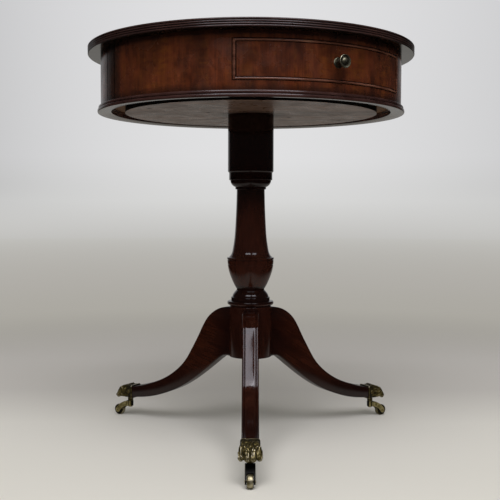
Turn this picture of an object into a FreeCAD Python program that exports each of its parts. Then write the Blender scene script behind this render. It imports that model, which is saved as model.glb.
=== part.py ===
import FreeCAD, Part
import math
import os

# Drum table: a round revolving top with one bowed drawer, on a turned column,
# three swept legs and brass paw castors.
# Lengths are millimetres and angles are degrees. The turning axis is Z, the
# floor is z = 0 and the drawer faces -Y. An azimuth runs from -Y towards +X.

# Whole table
table_height = 660.0
top_radius = 274.0
top_overhang = 21.0
overrun = 5.0

# Top board and its reeded edge
top_thick = 13.2
top_edge_width = 22.0
reed_count = 4
reed_depth = 1.2

# Frieze, the curved wall of the drum
frieze_height = 84.5
frieze_thick = 18.0
glue_block_size = 16.0
glue_block_length = 26.0
glue_block_count = 8
glue_block_first = 62.0

# Moulding under the frieze
moulding_height = 10.3
moulding_width = 22.7
moulding_reach = 5.7
moulding_quirk = 1.1
upper_bead_share = 0.52
upper_reach_share = 0.72

# Floor board of the drum, housed in the frieze
floor_thick = 9.0
floor_housing = 5.0
floor_rise = 1.7

# Drawer and its cock bead
drawer_width = 297.0
drawer_height = 57.6
drawer_rail = 12.2
drawer_gap = 0.3
drawer_front_thick = 20.0
drawer_side_thick = 8.0
drawer_back_thick = 8.0
drawer_back_place = 30.0
drawer_side_drop = 7.6
drawer_back_drop = 5.0
panel_thick = 4.0
panel_rise = 4.0
panel_groove = 3.0
bead_thick = 3.2
bead_depth = 9.0
bead_proud = 1.7
tail_count = 2
tail_length = 10.0
tail_slope_share = 0.14
tail_width_share = 0.62

# Knob and its screw
knob_radius = 9.8
knob_rose_radius = 8.0
knob_rose_thick = 1.6
knob_neck_radius = 4.4
knob_length = 19.5
knob_head_thick = 6.0
knob_dome_radius = 5.8
knob_dome_rise = 2.0
knob_rim_width = 1.8
knob_screw_radius = 2.0
knob_screw_bite = 9.0
knob_screw_head_radius = 4.2
knob_screw_head_thick = 2.6

# Runners, guides, kickers and stops that carry the drawer
runner_width = 14.0
guide_width = 10.0
guide_height = 26.0
guide_gap = 0.5
bearer_end = 18.0
kicker_gap = 1.0
kicker_screw_shares = (0.3, 0.85)
stop_width = 26.0
stop_thick = 12.0
stop_height = 24.0
stop_place = 96.0

# Turntable: bearing disc, felt ring, spindle, washer and nut
ring_gap = 23.0
disc_thick = 9.0
felt_thick = 1.7
felt_inset = 8.0
felt_width = 22.0
turn_gap = 0.3
spindle_radius = 6.0
spindle_gap = 0.06
spindle_bite = 46.0
spindle_end = 3.0
washer_radius = 16.0
washer_thick = 2.0
nut_flats = 19.0
nut_sides = 6
nut_height = 10.0
spigot_radius = 20.0
disc_screw_ring = 29.0
disc_screw_count = 4

# Column, its turned members from the foot up
column_lift = 138.0
hub_radius = 36.3
hub_height = 88.6
hub_ease = 1.5
hub_quirk_height = 1.6
hub_quirk_radius = 34.6
collar_radius = 40.1
collar_height = 6.0
collar_nose = 1.6
ogee_radius = 33.4
ogee_height = 18.6
neck_radius = 24.0
neck_height = 3.4
vase_height = 48.6
vase_radius = 40.0
lip_quirk = 1.0
lip_radius = 40.3
lip_height = 3.4
shaft_radius = 24.0
shaft_height = 117.0
fillet_radius = 26.4
fillet_height = 3.8
ovolo_radius = 35.2
ovolo_height = 12.0
step_radius = 37.1
step_height = 12.4
cove_height = 2.4
block_radius = 39.2

# Part of a quarter round's radius that its middle stands out by
diagonal_share = math.sqrt(0.5)

# Points of the turned curves, as shares of the rise and of the growth in radius
ovolo_middle_shares = (0.4, 0.75)
ogee_shares = ((0.36, 1.0), (0.37, 0.78), (0.66, 0.60), (1.0, 0.06))
vase_shares = ((0.0, 0.04), (0.09, 0.20), (0.24, 0.42), (0.43, 0.66), (0.62, 0.85), (0.82, 0.96), (1.0, 1.0))
flare_shares = ((0.0, 0.86), (0.018, 0.72), (0.05, 0.56), (0.14, 0.385), (0.27, 0.245), (0.47, 0.135),
                (0.74, 0.045), (1.0, 0.0))

# Legs
leg_count = 3
front_leg_azimuth = -30.0
leg_thick = 28.0
leg_foot_thick = 26.2
leg_reach = 249.0
leg_crest_drop = 3.8
ankle_height = 39.2
ankle_depth = 19.4
leg_top_round = 2.2
leg_under_round = 1.4
quirk_width = 1.1
quirk_depth = 1.3
quirk_place = 9.2
dovetail_neck = 12.0
dovetail_back = 18.0
dovetail_depth = 13.0
dovetail_height = 70.0
tenon_thick = 21.6
tenon_depth = 16.0
tenon_length = 11.0

# Shortest long edge of a leg blank, as a share of its reach
long_edge_share = 0.6

# Points of the leg's edges, as shares of its reach and of its rise
leg_upper_shares = ((0.12, 1.0), (0.17, 0.995), (0.214, 0.981), (0.251, 0.957), (0.287, 0.921),
                    (0.32, 0.874), (0.346, 0.82), (0.375, 0.742), (0.405, 0.655), (0.453, 0.528),
                    (0.518, 0.374), (0.591, 0.263), (0.672, 0.176), (0.761, 0.109), (0.842, 0.064),
                    (0.931, 0.023), (1.0, 0.0))
leg_lower_shares = ((0.158, 1.0), (0.19, 0.984), (0.223, 0.935), (0.26, 0.864), (0.304, 0.774),
                    (0.393, 0.598), (0.502, 0.404), (0.611, 0.252), (0.723, 0.139), (0.791, 0.085),
                    (0.88, 0.037), (1.0, 0.0))

# Iron plate let in under the hub and the legs
strap_thick = 2.0
strap_width = 14.0
strap_gap = 0.1
strap_reach = 50.0
strap_hub_radius = 21.0
strap_screw_place = 43.0
strap_hub_screw_place = 17.0

# Wood screws
screw_radius = 1.7
screw_head_radius = 3.6
screw_head_thick = 2.0
screw_length = 14.0

# Castor sockets cast as paws
socket_width = 27.0
socket_length = 15.0
socket_above = 1.3
socket_below = 1.8
socket_round = 3.0
socket_lip = 4.0
socket_lip_height = 0.6
paw_width = 33.0
paw_length = 27.0
paw_belly = 2.2
paw_drop = 7.0
toe_count = 4
toe_radius = 4.7
toe_spread = 8.2
toe_fan_share = 0.9
toe_lag = 4.5
sole_height = 36.3
boss_radius = 5.0
boss_height = 7.1
cap_screw_place = 8.0
cap_screw_length = 7.0

# Joints of a toe, as places past the shoulder and heights over the sole, in toe radii
toe_joint_shares = ((4.5, 3.1), (6.45, 2.35), (7.45, 1.0))

# Castor forks, pins, axles and wheels
pivot_place = 13.0
pivot_radius = 2.3
pivot_gap = 0.06
pivot_bite = 6.0
pivot_head_radius = 3.6
pivot_head_thick = 1.6
fork_gap = 0.35
fork_boss_radius = 5.4
fork_boss_height = 9.6
fork_width = 15.4
fork_arm = 2.6
fork_end_radius = 4.7
wheel_radius = 10.0
wheel_width = 9.4
wheel_ease = 1.4
wheel_clearance = 1.2
wheel_trail = 25.0
axle_radius = 1.7
axle_gap = 0.06
axle_end = 0.5

# Places on the fork's outline, as shares of the boss's radius or of the end's radius
crown_share = 0.9
root_share = 0.6
horn_over_shares = (0.3, 0.45)
horn_under_shares = (0.2, 0.45)

# Turns round the axle where the fork's rounded end leaves the horn, meets it again and has its middle
end_out_turn = 30
end_in_turn = 210
end_middle_turn = 300

# Radii worked out from the sizes
drum_radius = top_radius - top_overhang
frieze_inner = drum_radius - frieze_thick
ring_inner = drum_radius + moulding_reach - moulding_width
disc_radius = ring_inner - ring_gap
felt_radius = disc_radius - felt_inset
drawer_inner = drum_radius - drawer_front_thick

# Levels and places worked out from the sizes
top_under = table_height - top_thick
frieze_foot = top_under - frieze_height
moulding_foot = frieze_foot - moulding_height
floor_under = frieze_foot + floor_rise
floor_top = floor_under + floor_thick
drawer_top = top_under - drawer_rail
drawer_foot = drawer_top - drawer_height
drawer_side_top = drawer_top - drawer_side_drop
drawer_half = drawer_width / 2 - bead_thick
felt_under = floor_under - turn_gap - felt_thick
disc_under = felt_under - disc_thick
hub_top = column_lift + hub_height
leg_crest = hub_top - leg_crest_drop
ankle_top = ankle_height + ankle_depth
pivot_s = leg_reach + pivot_place
socket_under = ankle_height - socket_below
socket_top = ankle_top + socket_above
boss_under = sole_height - boss_height
fork_top = boss_under - fork_gap
fork_foot = fork_top - fork_boss_height
wheel_s = pivot_s + wheel_trail


def upright(a, b):
    """Point in the XZ plane."""
    return FreeCAD.Vector(a, 0, b)


def level(a, b):
    """Point in the XY plane."""
    return FreeCAD.Vector(a, b, 0)


def sideways(a, b):
    """Point in the YZ plane."""
    return FreeCAD.Vector(0, a, b)


def outline(place, start, *steps):
    """Face inside a closed outline. A step is a point, a pair (middle, end) of an arc, or a list for a spline."""
    edges = []
    here = place(*start)
    for step in steps:
        if isinstance(step, list):
            curve = Part.BSplineCurve()
            curve.interpolate([here] + [place(*point) for point in step])
            edges.append(curve.toShape())
            here = place(*step[-1])
        elif isinstance(step[0], tuple):
            edges.append(Part.Arc(here, place(*step[0]), place(*step[1])).toShape())
            here = place(*step[1])
        else:
            edges.append(Part.makeLine(here, place(*step)))
            here = place(*step)
    edges.append(Part.makeLine(here, place(*start)))
    return Part.Face(Part.Wire(edges))


def turned(face):
    """Solid turned round Z."""
    return face.revolve(FreeCAD.Vector(0, 0, 0), FreeCAD.Vector(0, 0, 1), 360)


def pipe(outer, inner, foot, top):
    """Hollow cylinder on Z."""
    height = top - foot
    ring = Part.makeCylinder(outer, height, FreeCAD.Vector(0, 0, foot))
    return ring.cut(Part.makeCylinder(inner, height, FreeCAD.Vector(0, 0, foot)))


def block(low, high):
    """Box between two corners."""
    size = [b - a for a, b in zip(low, high)]
    return Part.makeBox(size[0], size[1], size[2], FreeCAD.Vector(*low))


def swung(shape, azimuth):
    """Copy of a shape built along +X, turned to an azimuth."""
    copy = shape.copy()
    copy.rotate(FreeCAD.Vector(0, 0, 0), FreeCAD.Vector(0, 0, 1), azimuth - 90)
    return copy


def mirrored(shape):
    """Copy on the other side of the YZ plane."""
    return shape.mirror(FreeCAD.Vector(0, 0, 0), FreeCAD.Vector(1, 0, 0))


def wood_screw(seat, into, length=screw_length):
    """Round-headed screw with its head standing on a seat."""
    axis = FreeCAD.Vector(*into)
    axis.normalize()
    shank = Part.makeCylinder(screw_radius, length, FreeCAD.Vector(*seat), axis)
    head = Part.makeCylinder(screw_head_radius, screw_head_thick, FreeCAD.Vector(*seat), axis * -1)
    return shank.fuse(head).removeSplitter()


def screw_hole(seat, into, length=screw_length):
    """Hole that a wood screw's shank fills."""
    axis = FreeCAD.Vector(*into)
    axis.normalize()
    return Part.makeCylinder(screw_radius, length, FreeCAD.Vector(*seat), axis)


def top_panel():
    """Veneered round board of the top."""
    panel = Part.makeCylinder(top_radius - top_edge_width, top_thick, FreeCAD.Vector(0, 0, top_under))
    for seat in kicker_screw_seats():
        panel = panel.cut(screw_hole(seat, (0, 0, 1), kicker_screw_length()))
    return panel


def top_edge():
    """Solid lipping round the top, with reeds along its edge."""
    inner = top_radius - top_edge_width
    root = top_radius - reed_depth
    pitch = top_thick / reed_count
    steps = [(root, top_under)]
    for reed in range(reed_count):
        foot = top_under + reed * pitch
        steps.append(((top_radius, foot + pitch / 2), (root, foot + pitch)))
    steps.append((inner, table_height))
    return turned(outline(upright, (inner, top_under), *steps))


def drawer_opening():
    """Space cut through the frieze for the drawer front."""
    half = drawer_width / 2 + drawer_gap
    return block((-half, -drum_radius - overrun, drawer_foot - drawer_gap), (half, 0, drawer_top + drawer_gap))


def frieze():
    """Curved wall of the drum with the drawer's opening and the housing of the floor board."""
    wall = pipe(drum_radius, frieze_inner, frieze_foot, top_under)
    housing = pipe(frieze_inner + floor_housing, frieze_inner - overrun, floor_under, floor_top)
    return wall.cut(housing).cut(drawer_opening())


def moulding():
    """Ring under the frieze with two beads on its outer face."""
    middle = frieze_foot - moulding_height * upper_bead_share
    lower = drum_radius + moulding_reach
    upper = drum_radius + moulding_reach * upper_reach_share
    face = outline(
        upright,
        (ring_inner, moulding_foot),
        (lower - moulding_quirk, moulding_foot),
        ((lower, (moulding_foot + middle) / 2), (lower - moulding_quirk, middle)),
        (upper - moulding_quirk, middle),
        ((upper, (middle + frieze_foot) / 2), (upper - moulding_quirk * 2, frieze_foot)),
        (ring_inner, frieze_foot),
    )
    return turned(face)


def floor_board():
    """Floor of the drum, which turns round the spindle."""
    board = Part.makeCylinder(frieze_inner + floor_housing, floor_thick, FreeCAD.Vector(0, 0, floor_under))
    hole = Part.makeCylinder(spindle_radius + spindle_gap, floor_thick, FreeCAD.Vector(0, 0, floor_under))
    return board.cut(hole)


def glue_blocks():
    """Blocks in the corner between the frieze and the top board."""
    inside = Part.makeCylinder(frieze_inner, table_height)
    blocks = []
    for index in range(glue_block_count):
        step = (360 - 2 * glue_block_first) / (glue_block_count - 1)
        low = (frieze_inner - glue_block_size, -glue_block_length / 2, top_under - glue_block_size)
        high = (frieze_inner, glue_block_length / 2, top_under)
        blocks.append(swung(block(low, high).common(inside), glue_block_first + index * step))
    return Part.makeCompound(blocks)


def bearer(x_low, x_high, foot, top, front_radius):
    """Straight strip beside the drawer, its front end cut to the drum's curve."""
    strip = block((x_low, -drum_radius, foot), (x_high, -bearer_end, top))
    return strip.common(Part.makeCylinder(front_radius, table_height))


def runner():
    """Strip that a drawer side slides on."""
    return bearer(drawer_half - runner_width, drawer_half, floor_top, drawer_foot - drawer_gap, frieze_inner)


def guide():
    """Strip that keeps the drawer straight."""
    inner = drawer_half + guide_gap
    return bearer(inner, inner + guide_width, floor_top, floor_top + guide_height, frieze_inner)


def kicker_foot():
    """Level of the kickers' underside."""
    return drawer_side_top + kicker_gap


def kicker_screw_seats():
    """Places of the screw heads in both kickers."""
    x = drawer_half - runner_width / 2
    z = kicker_foot() + screw_head_thick
    length = math.sqrt(drawer_inner ** 2 - drawer_half ** 2) - bearer_end
    return [(side * x, -bearer_end - length * share, z) for side in (-1, 1) for share in kicker_screw_shares]


def kicker_screw_length():
    """Length of a kicker screw, which stops inside the top board."""
    return top_under - kicker_foot() - screw_head_thick + top_thick / 2


def kicker():
    """Strip over a drawer side that stops the drawer from tipping."""
    strip = bearer(drawer_half - runner_width, drawer_half, kicker_foot(), top_under, drawer_inner - guide_gap)
    for x, y, z in kicker_screw_seats():
        sink = Part.makeCylinder(screw_head_radius, screw_head_thick, FreeCAD.Vector(x, y, kicker_foot()))
        strip = strip.cut(sink).cut(screw_hole((x, y, z), (0, 0, 1), kicker_screw_length()))
    return strip


def top_screws():
    """Screws through the kickers into the top board."""
    return Part.makeCompound([wood_screw(seat, (0, 0, 1), kicker_screw_length()) for seat in kicker_screw_seats()])


def drawer_stops():
    """Blocks that the drawer's back meets when it is shut."""
    front = -drawer_back_place + drawer_gap
    stops = []
    for side in (-1, 1):
        x = side * stop_place
        low = (x - stop_width / 2, front, floor_top)
        high = (x + stop_width / 2, front + stop_thick, floor_top + stop_height)
        stops.append(block(low, high))
    return Part.makeCompound(stops)


def front_slice(outer, inner, foot, top, half):
    """Part of a ring on the drawer's side, between two upright planes."""
    ring = pipe(outer, inner, foot, top)
    return ring.common(block((-half, -outer - overrun, foot), (half, 0, top)))


def tail_prisms(along, across):
    """Dovetail tails at one end of a drawer side, from its shoulder outwards. They lie in the side's plane."""
    foot = drawer_foot + bead_thick
    pitch = (drawer_side_top - foot) / tail_count
    tip_half = pitch * tail_width_share / 2
    root_half = tip_half - tail_length * tail_slope_share
    (root, tip), (x_low, x_high) = along, across
    tails = []
    for index in range(tail_count):
        middle = foot + pitch * (index + 1 / 2)
        face = outline(sideways, (root, middle - root_half), (tip, middle - tip_half), (tip, middle + tip_half),
                       (root, middle + root_half))
        face.translate(FreeCAD.Vector(x_low, 0, 0))
        tails.append(face.extrude(FreeCAD.Vector(x_high - x_low, 0, 0)))
    return tails


def side_x():
    """Inner and outer faces of the drawer side on +X."""
    return drawer_half - drawer_side_thick, drawer_half


def front_tail_reach():
    """Where the front tails start, inside the side, and where they end in the drawer front."""
    shoulder = -math.sqrt(drawer_inner ** 2 - side_x()[1] ** 2)
    return shoulder + drawer_side_thick, shoulder - tail_length


def drawer_panel():
    """Thin bottom of the drawer, held in grooves."""
    foot = drawer_foot + panel_rise
    half = side_x()[0] + panel_groove
    disc = Part.makeCylinder(drawer_inner + panel_groove, panel_thick, FreeCAD.Vector(0, 0, foot))
    low = (-half, -drum_radius, foot)
    high = (half, -drawer_back_place, foot + panel_thick)
    return disc.common(block(low, high))


def drawer_front():
    """Bowed drawer front with rebates for the bead and sockets for the tails."""
    half = drawer_half
    foot = drawer_foot + bead_thick
    top = drawer_top - bead_thick
    back = front_slice(drum_radius - bead_depth, drawer_inner, drawer_foot, drawer_top, half)
    face = front_slice(drum_radius, drum_radius - bead_depth, foot, top, half)
    board = back.fuse(face).removeSplitter()
    board = board.cut(drawer_panel())
    for tail in tail_prisms(front_tail_reach(), side_x()):
        board = board.cut(tail).cut(mirrored(tail))
    bore = Part.makeCylinder(knob_screw_radius, drawer_front_thick + overrun)
    spot_face = Part.makeCylinder(knob_screw_head_radius, overrun, FreeCAD.Vector(0, 0, -overrun))
    return board.cut(to_front(bore, drawer_inner)).cut(to_front(spot_face, drawer_inner))


def drawer_side():
    """Straight drawer side with tails at its front and back."""
    x_low, x_high = side_x()
    y_high = -drawer_back_place - drawer_back_thick
    plain = block((x_low, -drum_radius, drawer_foot), (x_high, y_high, drawer_side_top))
    side = plain.common(Part.makeCylinder(drawer_inner, table_height))
    for tail in tail_prisms(front_tail_reach(), side_x()) + back_tails():
        side = side.fuse(tail)
    return side.removeSplitter().cut(drawer_panel())


def back_tails():
    """Tails at the back end of the side on +X."""
    root = -drawer_back_place - drawer_back_thick
    return tail_prisms((root - overrun, -drawer_back_place), side_x())


def drawer_back():
    """Back of the drawer, between the sides and over the bottom."""
    foot = drawer_foot + panel_rise + panel_thick
    low = (-drawer_half, -drawer_back_place - drawer_back_thick, foot)
    high = (drawer_half, -drawer_back_place, drawer_side_top - drawer_back_drop)
    board = block(low, high)
    for tail in back_tails():
        board = board.cut(tail).cut(mirrored(tail))
    return board


def bead_strip(foot, top):
    """Curved strip with a round nose, as long as the ring."""
    inner = drum_radius - bead_depth
    shoulder = drum_radius + bead_proud - bead_thick / 2
    face = outline(upright, (inner, foot), (shoulder, foot), ((drum_radius + bead_proud, (foot + top) / 2),
                                                              (shoulder, top)), (inner, top))
    return turned(face)


def mitre_wedge(points):
    """Prism along Y that keeps one bead inside its mitres."""
    face = outline(upright, *points)
    face.translate(FreeCAD.Vector(0, -drum_radius - overrun, 0))
    return face.extrude(FreeCAD.Vector(0, drum_radius + overrun, 0))


def level_bead(edge, inwards):
    """Bead along the top or the bottom edge of the drawer front."""
    half = drawer_width / 2
    inner = edge + inwards * bead_thick
    wedge = mitre_wedge([(-half, edge), (half, edge), (half - bead_thick, inner), (-half + bead_thick, inner)])
    return bead_strip(min(edge, inner), max(edge, inner)).common(wedge)


def end_bead():
    """Upright bead at the end of the drawer front on +X."""
    half = drawer_width / 2
    middle = half - bead_thick / 2
    inner = half - bead_thick
    shoulder = drum_radius + bead_proud - bead_thick / 2

    def on_ring(radius, x):
        return x, -math.sqrt(radius ** 2 - x ** 2)

    face = outline(level, on_ring(drum_radius - bead_depth, inner), on_ring(shoulder, inner),
                   (on_ring(drum_radius + bead_proud, middle), on_ring(shoulder, half)),
                   on_ring(drum_radius - bead_depth, half))
    face.translate(FreeCAD.Vector(0, 0, drawer_foot))
    strip = face.extrude(FreeCAD.Vector(0, 0, drawer_height))
    wedge = mitre_wedge([(half, drawer_foot), (half, drawer_top), (inner, drawer_top - bead_thick),
                         (inner, drawer_foot + bead_thick)])
    return strip.common(wedge)


def knob_level():
    """Level of the knob, half way up the drawer front."""
    return (drawer_foot + drawer_top) / 2


def to_front(shape, radius):
    """Shape built up Z from zero, laid on the drawer front at a radius and facing -Y."""
    shape.rotate(FreeCAD.Vector(0, 0, 0), FreeCAD.Vector(1, 0, 0), 90)
    shape.translate(FreeCAD.Vector(0, -radius, knob_level()))
    return shape


def dome_middle(radius, foot, rise):
    """Middle of the arc from the edge of a round dome to its crown on the axis."""
    ball_radius = (radius ** 2 + rise ** 2) / (2 * rise)
    half_turn = math.asin(radius / ball_radius) / 2
    return ball_radius * math.sin(half_turn), foot + rise - ball_radius * (1 - math.cos(half_turn))


def knob():
    """Turned knob with a rose, a waisted neck, a rimmed head and a low dome."""
    head_foot = knob_length - knob_head_thick
    dish = knob_length - knob_dome_rise
    rim = knob_rim_width / 2
    rose_flat = knob_rose_radius - knob_rose_thick
    neck_end = knob_neck_radius + knob_rose_thick
    face = outline(
        upright,
        (knob_screw_radius, 0),
        (knob_rose_radius, 0),
        ((rose_flat + knob_rose_thick * diagonal_share, knob_rose_thick * diagonal_share),
         (rose_flat, knob_rose_thick)),
        ((knob_neck_radius, (knob_rose_thick + head_foot) / 2), (neck_end, head_foot)),
        (knob_radius - rim, dish - rim),
        ((knob_radius, dish), (knob_radius - rim, dish + rim)),
        (knob_dome_radius, dish),
        (dome_middle(knob_dome_radius, dish, knob_dome_rise), (0, knob_length)),
        (0, knob_screw_bite),
        (knob_screw_radius, knob_screw_bite),
    )
    return to_front(turned(face), drum_radius)


def knob_screw():
    """Screw from inside the drawer that holds the knob."""
    length = drawer_front_thick + knob_screw_bite
    shank = Part.makeCylinder(knob_screw_radius, length)
    head = Part.makeCylinder(knob_screw_head_radius, knob_screw_head_thick,
                             FreeCAD.Vector(0, 0, -knob_screw_head_thick))
    return to_front(shank.fuse(head).removeSplitter(), drawer_inner)


def bearing_disc():
    """Board on the column that the drum turns on."""
    disc = Part.makeCylinder(disc_radius, disc_thick, FreeCAD.Vector(0, 0, disc_under))
    disc = disc.cut(Part.makeCylinder(spigot_radius, disc_thick, FreeCAD.Vector(0, 0, disc_under)))
    for seat in disc_screw_seats():
        sink = Part.makeCylinder(screw_head_radius, screw_head_thick, FreeCAD.Vector(*seat))
        disc = disc.cut(sink).cut(screw_hole(seat, (0, 0, -1), disc_screw_length()))
    return disc


def disc_screw_seats():
    """Places of the sunk screw heads in the top of the disc."""
    z = felt_under - screw_head_thick
    seats = []
    for index in range(disc_screw_count):
        turn = math.radians(360 * (index + 1 / 2) / disc_screw_count)
        seats.append((disc_screw_ring * math.cos(turn), disc_screw_ring * math.sin(turn), z))
    return seats


def disc_screw_length():
    """Length of a disc screw, which bites the column by one screw length."""
    return disc_thick - screw_head_thick + screw_length


def disc_screws():
    """Screws down through the disc into the column."""
    return Part.makeCompound([wood_screw(seat, (0, 0, -1), disc_screw_length()) for seat in disc_screw_seats()])


def felt_ring():
    """Felt that the drum slides on."""
    return pipe(felt_radius, felt_radius - felt_width, felt_under, felt_under + felt_thick)


def spindle_foot():
    """Level of the spindle's lower end, inside the column."""
    return disc_under - spindle_bite


def washer_foot():
    """Level of the washer's underside, just clear of the floor board."""
    return floor_top + turn_gap


def spindle():
    """Steel rod that the drum turns round."""
    top = washer_foot() + washer_thick + nut_height + spindle_end
    return Part.makeCylinder(spindle_radius, top - spindle_foot(), FreeCAD.Vector(0, 0, spindle_foot()))


def spindle_washer():
    """Washer that keeps the drum down."""
    return pipe(washer_radius, spindle_radius, washer_foot(), washer_foot() + washer_thick)


def spindle_nut():
    """Hexagon nut on the spindle."""
    corner = nut_flats / 2 / math.cos(math.pi / nut_sides)
    foot = washer_foot() + washer_thick
    points = []
    for index in range(nut_sides + 1):
        turn = math.radians(360 * index / nut_sides)
        points.append(FreeCAD.Vector(corner * math.cos(turn), corner * math.sin(turn), foot))
    body = Part.Face(Part.makePolygon(points)).extrude(FreeCAD.Vector(0, 0, nut_height))
    return body.cut(Part.makeCylinder(spindle_radius, nut_height, FreeCAD.Vector(0, 0, foot)))


def grown(shares, foot, rise, radius, growth):
    """Points of a turned curve from its shares of rise and growth."""
    return [(radius + growth * out, foot + rise * up) for up, out in shares]


def column_outline():
    """Half section of the column, from its foot up."""
    collar_foot = hub_top + hub_quirk_height
    collar_top = collar_foot + collar_height
    ogee_top = collar_top + ogee_height
    neck_top = ogee_top + neck_height
    vase_top = neck_top + vase_height
    lip_foot = vase_top + lip_quirk
    lip_top = lip_foot + lip_height
    shaft_top = lip_top + shaft_height
    fillet_top = shaft_top + fillet_height
    ovolo_top = fillet_top + ovolo_height
    step_top = ovolo_top + step_height
    block_foot = step_top + cove_height
    ogee = grown(ogee_shares, collar_top, ogee_height, neck_radius, ogee_radius - neck_radius)
    vase = grown(vase_shares, neck_top, vase_height, neck_radius, vase_radius - neck_radius)
    flare = grown(flare_shares, lip_top, shaft_height, shaft_radius, lip_radius - shaft_radius)
    return outline(
        upright,
        (0, column_lift),
        (hub_radius, column_lift),
        (hub_radius, hub_top - hub_ease),
        (hub_radius - hub_ease, hub_top),
        (hub_quirk_radius, hub_top),
        (hub_quirk_radius, collar_foot),
        (collar_radius - collar_nose, collar_foot),
        ((collar_radius, (collar_foot + collar_top) / 2), (collar_radius - collar_nose, collar_top)),
        (ogee_radius, collar_top),
        ogee[0],
        ogee[1],
        (ogee[2], ogee[3]),
        (neck_radius, ogee_top),
        (neck_radius, neck_top),
        vase[0],
        vase[1:],
        (vase_radius - lip_quirk, vase_top),
        (vase_radius - lip_quirk, lip_foot),
        (lip_radius, lip_foot),
        (lip_radius, lip_top),
        flare[0],
        flare[1:],
        (fillet_radius, shaft_top),
        (fillet_radius, fillet_top),
        (grown([ovolo_middle_shares], fillet_top, ovolo_height, fillet_radius, ovolo_radius - fillet_radius)[0],
         (ovolo_radius, ovolo_top)),
        (step_radius, ovolo_top),
        (step_radius, step_top),
        (block_radius, block_foot),
        (block_radius, disc_under),
        (spigot_radius, disc_under),
        (spigot_radius, felt_under),
        (0, felt_under),
    )


def dovetail(clear_depth):
    """Tongue of a leg, or its slot in the hub, along +X."""
    back = hub_radius - dovetail_depth
    face = outline(level, (back, -dovetail_back / 2), (clear_depth, -dovetail_neck / 2),
                   (clear_depth, dovetail_neck / 2), (back, dovetail_back / 2))
    face.translate(FreeCAD.Vector(0, 0, column_lift))
    return face.extrude(FreeCAD.Vector(0, 0, dovetail_height))


def leg_azimuths():
    """Azimuth of each leg."""
    return [front_leg_azimuth + index * 360 / leg_count for index in range(leg_count)]


def column():
    """Turned column with slots for the legs and the spindle's hole."""
    hole = Part.makeCylinder(spindle_radius, spindle_bite + disc_thick, FreeCAD.Vector(0, 0, spindle_foot()))
    body = turned(column_outline()).cut(hole)
    for azimuth in leg_azimuths():
        body = body.cut(swung(dovetail(hub_radius + overrun), azimuth))
    for seat in disc_screw_seats():
        body = body.cut(screw_hole(seat, (0, 0, -1), disc_screw_length()))
    for azimuth, (seat, into) in strap_screws_at():
        if seat[0] < hub_radius:
            body = body.cut(swung(screw_hole(seat, into), azimuth))
    return body


def leg_points(shares, low, high):
    """Points of one edge of the leg from its shares of reach and rise."""
    return [(leg_reach * out, low + (high - low) * up) for out, up in shares]


def shifted(points, distance):
    """Points beside a curve through the given points, at a distance on its lower side."""
    curve = Part.BSplineCurve()
    curve.interpolate([upright(*point) for point in points])
    moved = []
    for point in points:
        along = FreeCAD.Vector(*curve.tangent(curve.parameter(upright(*point)))[0])
        moved.append((point[0] + along.z * distance, point[1] - along.x * distance))
    return moved


def leg_side_face():
    """Side view of a leg, from inside the hub to its shoulder."""
    upper = leg_points(leg_upper_shares, ankle_top, leg_crest)
    lower = leg_points(leg_lower_shares, ankle_height, column_lift)
    start = upper[0][0]
    return outline(upright, (start, column_lift), lower[0], lower[1:], (leg_reach, ankle_top), upper[-2::-1])


def quirk_cutter():
    """Thin curved slot that follows the top of a leg."""
    upper = [point for point in leg_points(leg_upper_shares, ankle_top, leg_crest) if point[0] > hub_radius]
    lower = shifted(upper, quirk_depth)
    raised = shifted(upper, -overrun)
    face = outline(upright, raised[0], raised[1:], lower[-1], lower[-2::-1])
    face.translate(FreeCAD.Vector(0, -quirk_width / 2, 0))
    return face.extrude(FreeCAD.Vector(0, quirk_width, 0))


def long_edges(shape, upper):
    """Long edges on the top or the underside of a leg blank."""
    found = []
    for edge in shape.Edges:
        box = edge.BoundBox
        if box.XLength < leg_reach * long_edge_share or box.YLength > leg_thick / 2:
            continue
        if (box.ZMax > column_lift + overrun * 2) == upper:
            found.append(edge)
    return found


def leg():
    """Swept leg along +X: tapering sides, quirked top, dovetail tongue and tenon."""
    blank = leg_side_face()
    blank.translate(FreeCAD.Vector(0, -leg_thick / 2, 0))
    blank = blank.extrude(FreeCAD.Vector(0, leg_thick, 0))
    half_root = leg_thick / 2
    half_foot = leg_foot_thick / 2
    taper = outline(level, (0, -half_root), (leg_reach, -half_foot), (leg_reach, half_foot), (0, half_root))
    blank = blank.common(taper.extrude(FreeCAD.Vector(0, 0, table_height)))
    blank = blank.makeFillet(leg_top_round, long_edges(blank, True))
    blank = blank.makeFillet(leg_under_round, long_edges(blank, False))
    for side in (-1, 1):
        slot = quirk_cutter()
        slot.translate(FreeCAD.Vector(0, side * quirk_place, 0))
        blank = blank.cut(slot)
    blank = blank.cut(Part.makeCylinder(hub_radius, table_height))
    tongue = dovetail(hub_radius).fuse(dovetail(hub_radius + overrun).common(blank))
    tenon_foot = ankle_height + (ankle_depth - tenon_depth) / 2
    tenon = block((leg_reach - overrun, -tenon_thick / 2, tenon_foot),
                  (leg_reach + tenon_length, tenon_thick / 2, tenon_foot + tenon_depth))
    blank = blank.fuse(tongue).fuse(tenon).removeSplitter()
    for seat, into in cap_screws_at():
        blank = blank.cut(screw_hole(seat, into, cap_screw_length))
    blank = blank.cut(strap_arm(overrun, strap_gap))
    return blank.cut(screw_hole(*strap_screw_seat(strap_screw_place)))


def strap_arm(thick, gap=0):
    """Arm of the iron plate along +X, or its rebate with a gap beside it, down from the hub's underside."""
    half = strap_width / 2 + gap
    return block((0, -half, column_lift - thick), (strap_reach + gap, half, column_lift))


def strap_screw_seat(s):
    """Seat and direction of a screw through the plate."""
    return (s, 0, column_lift - strap_thick), (0, 0, 1)


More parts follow.
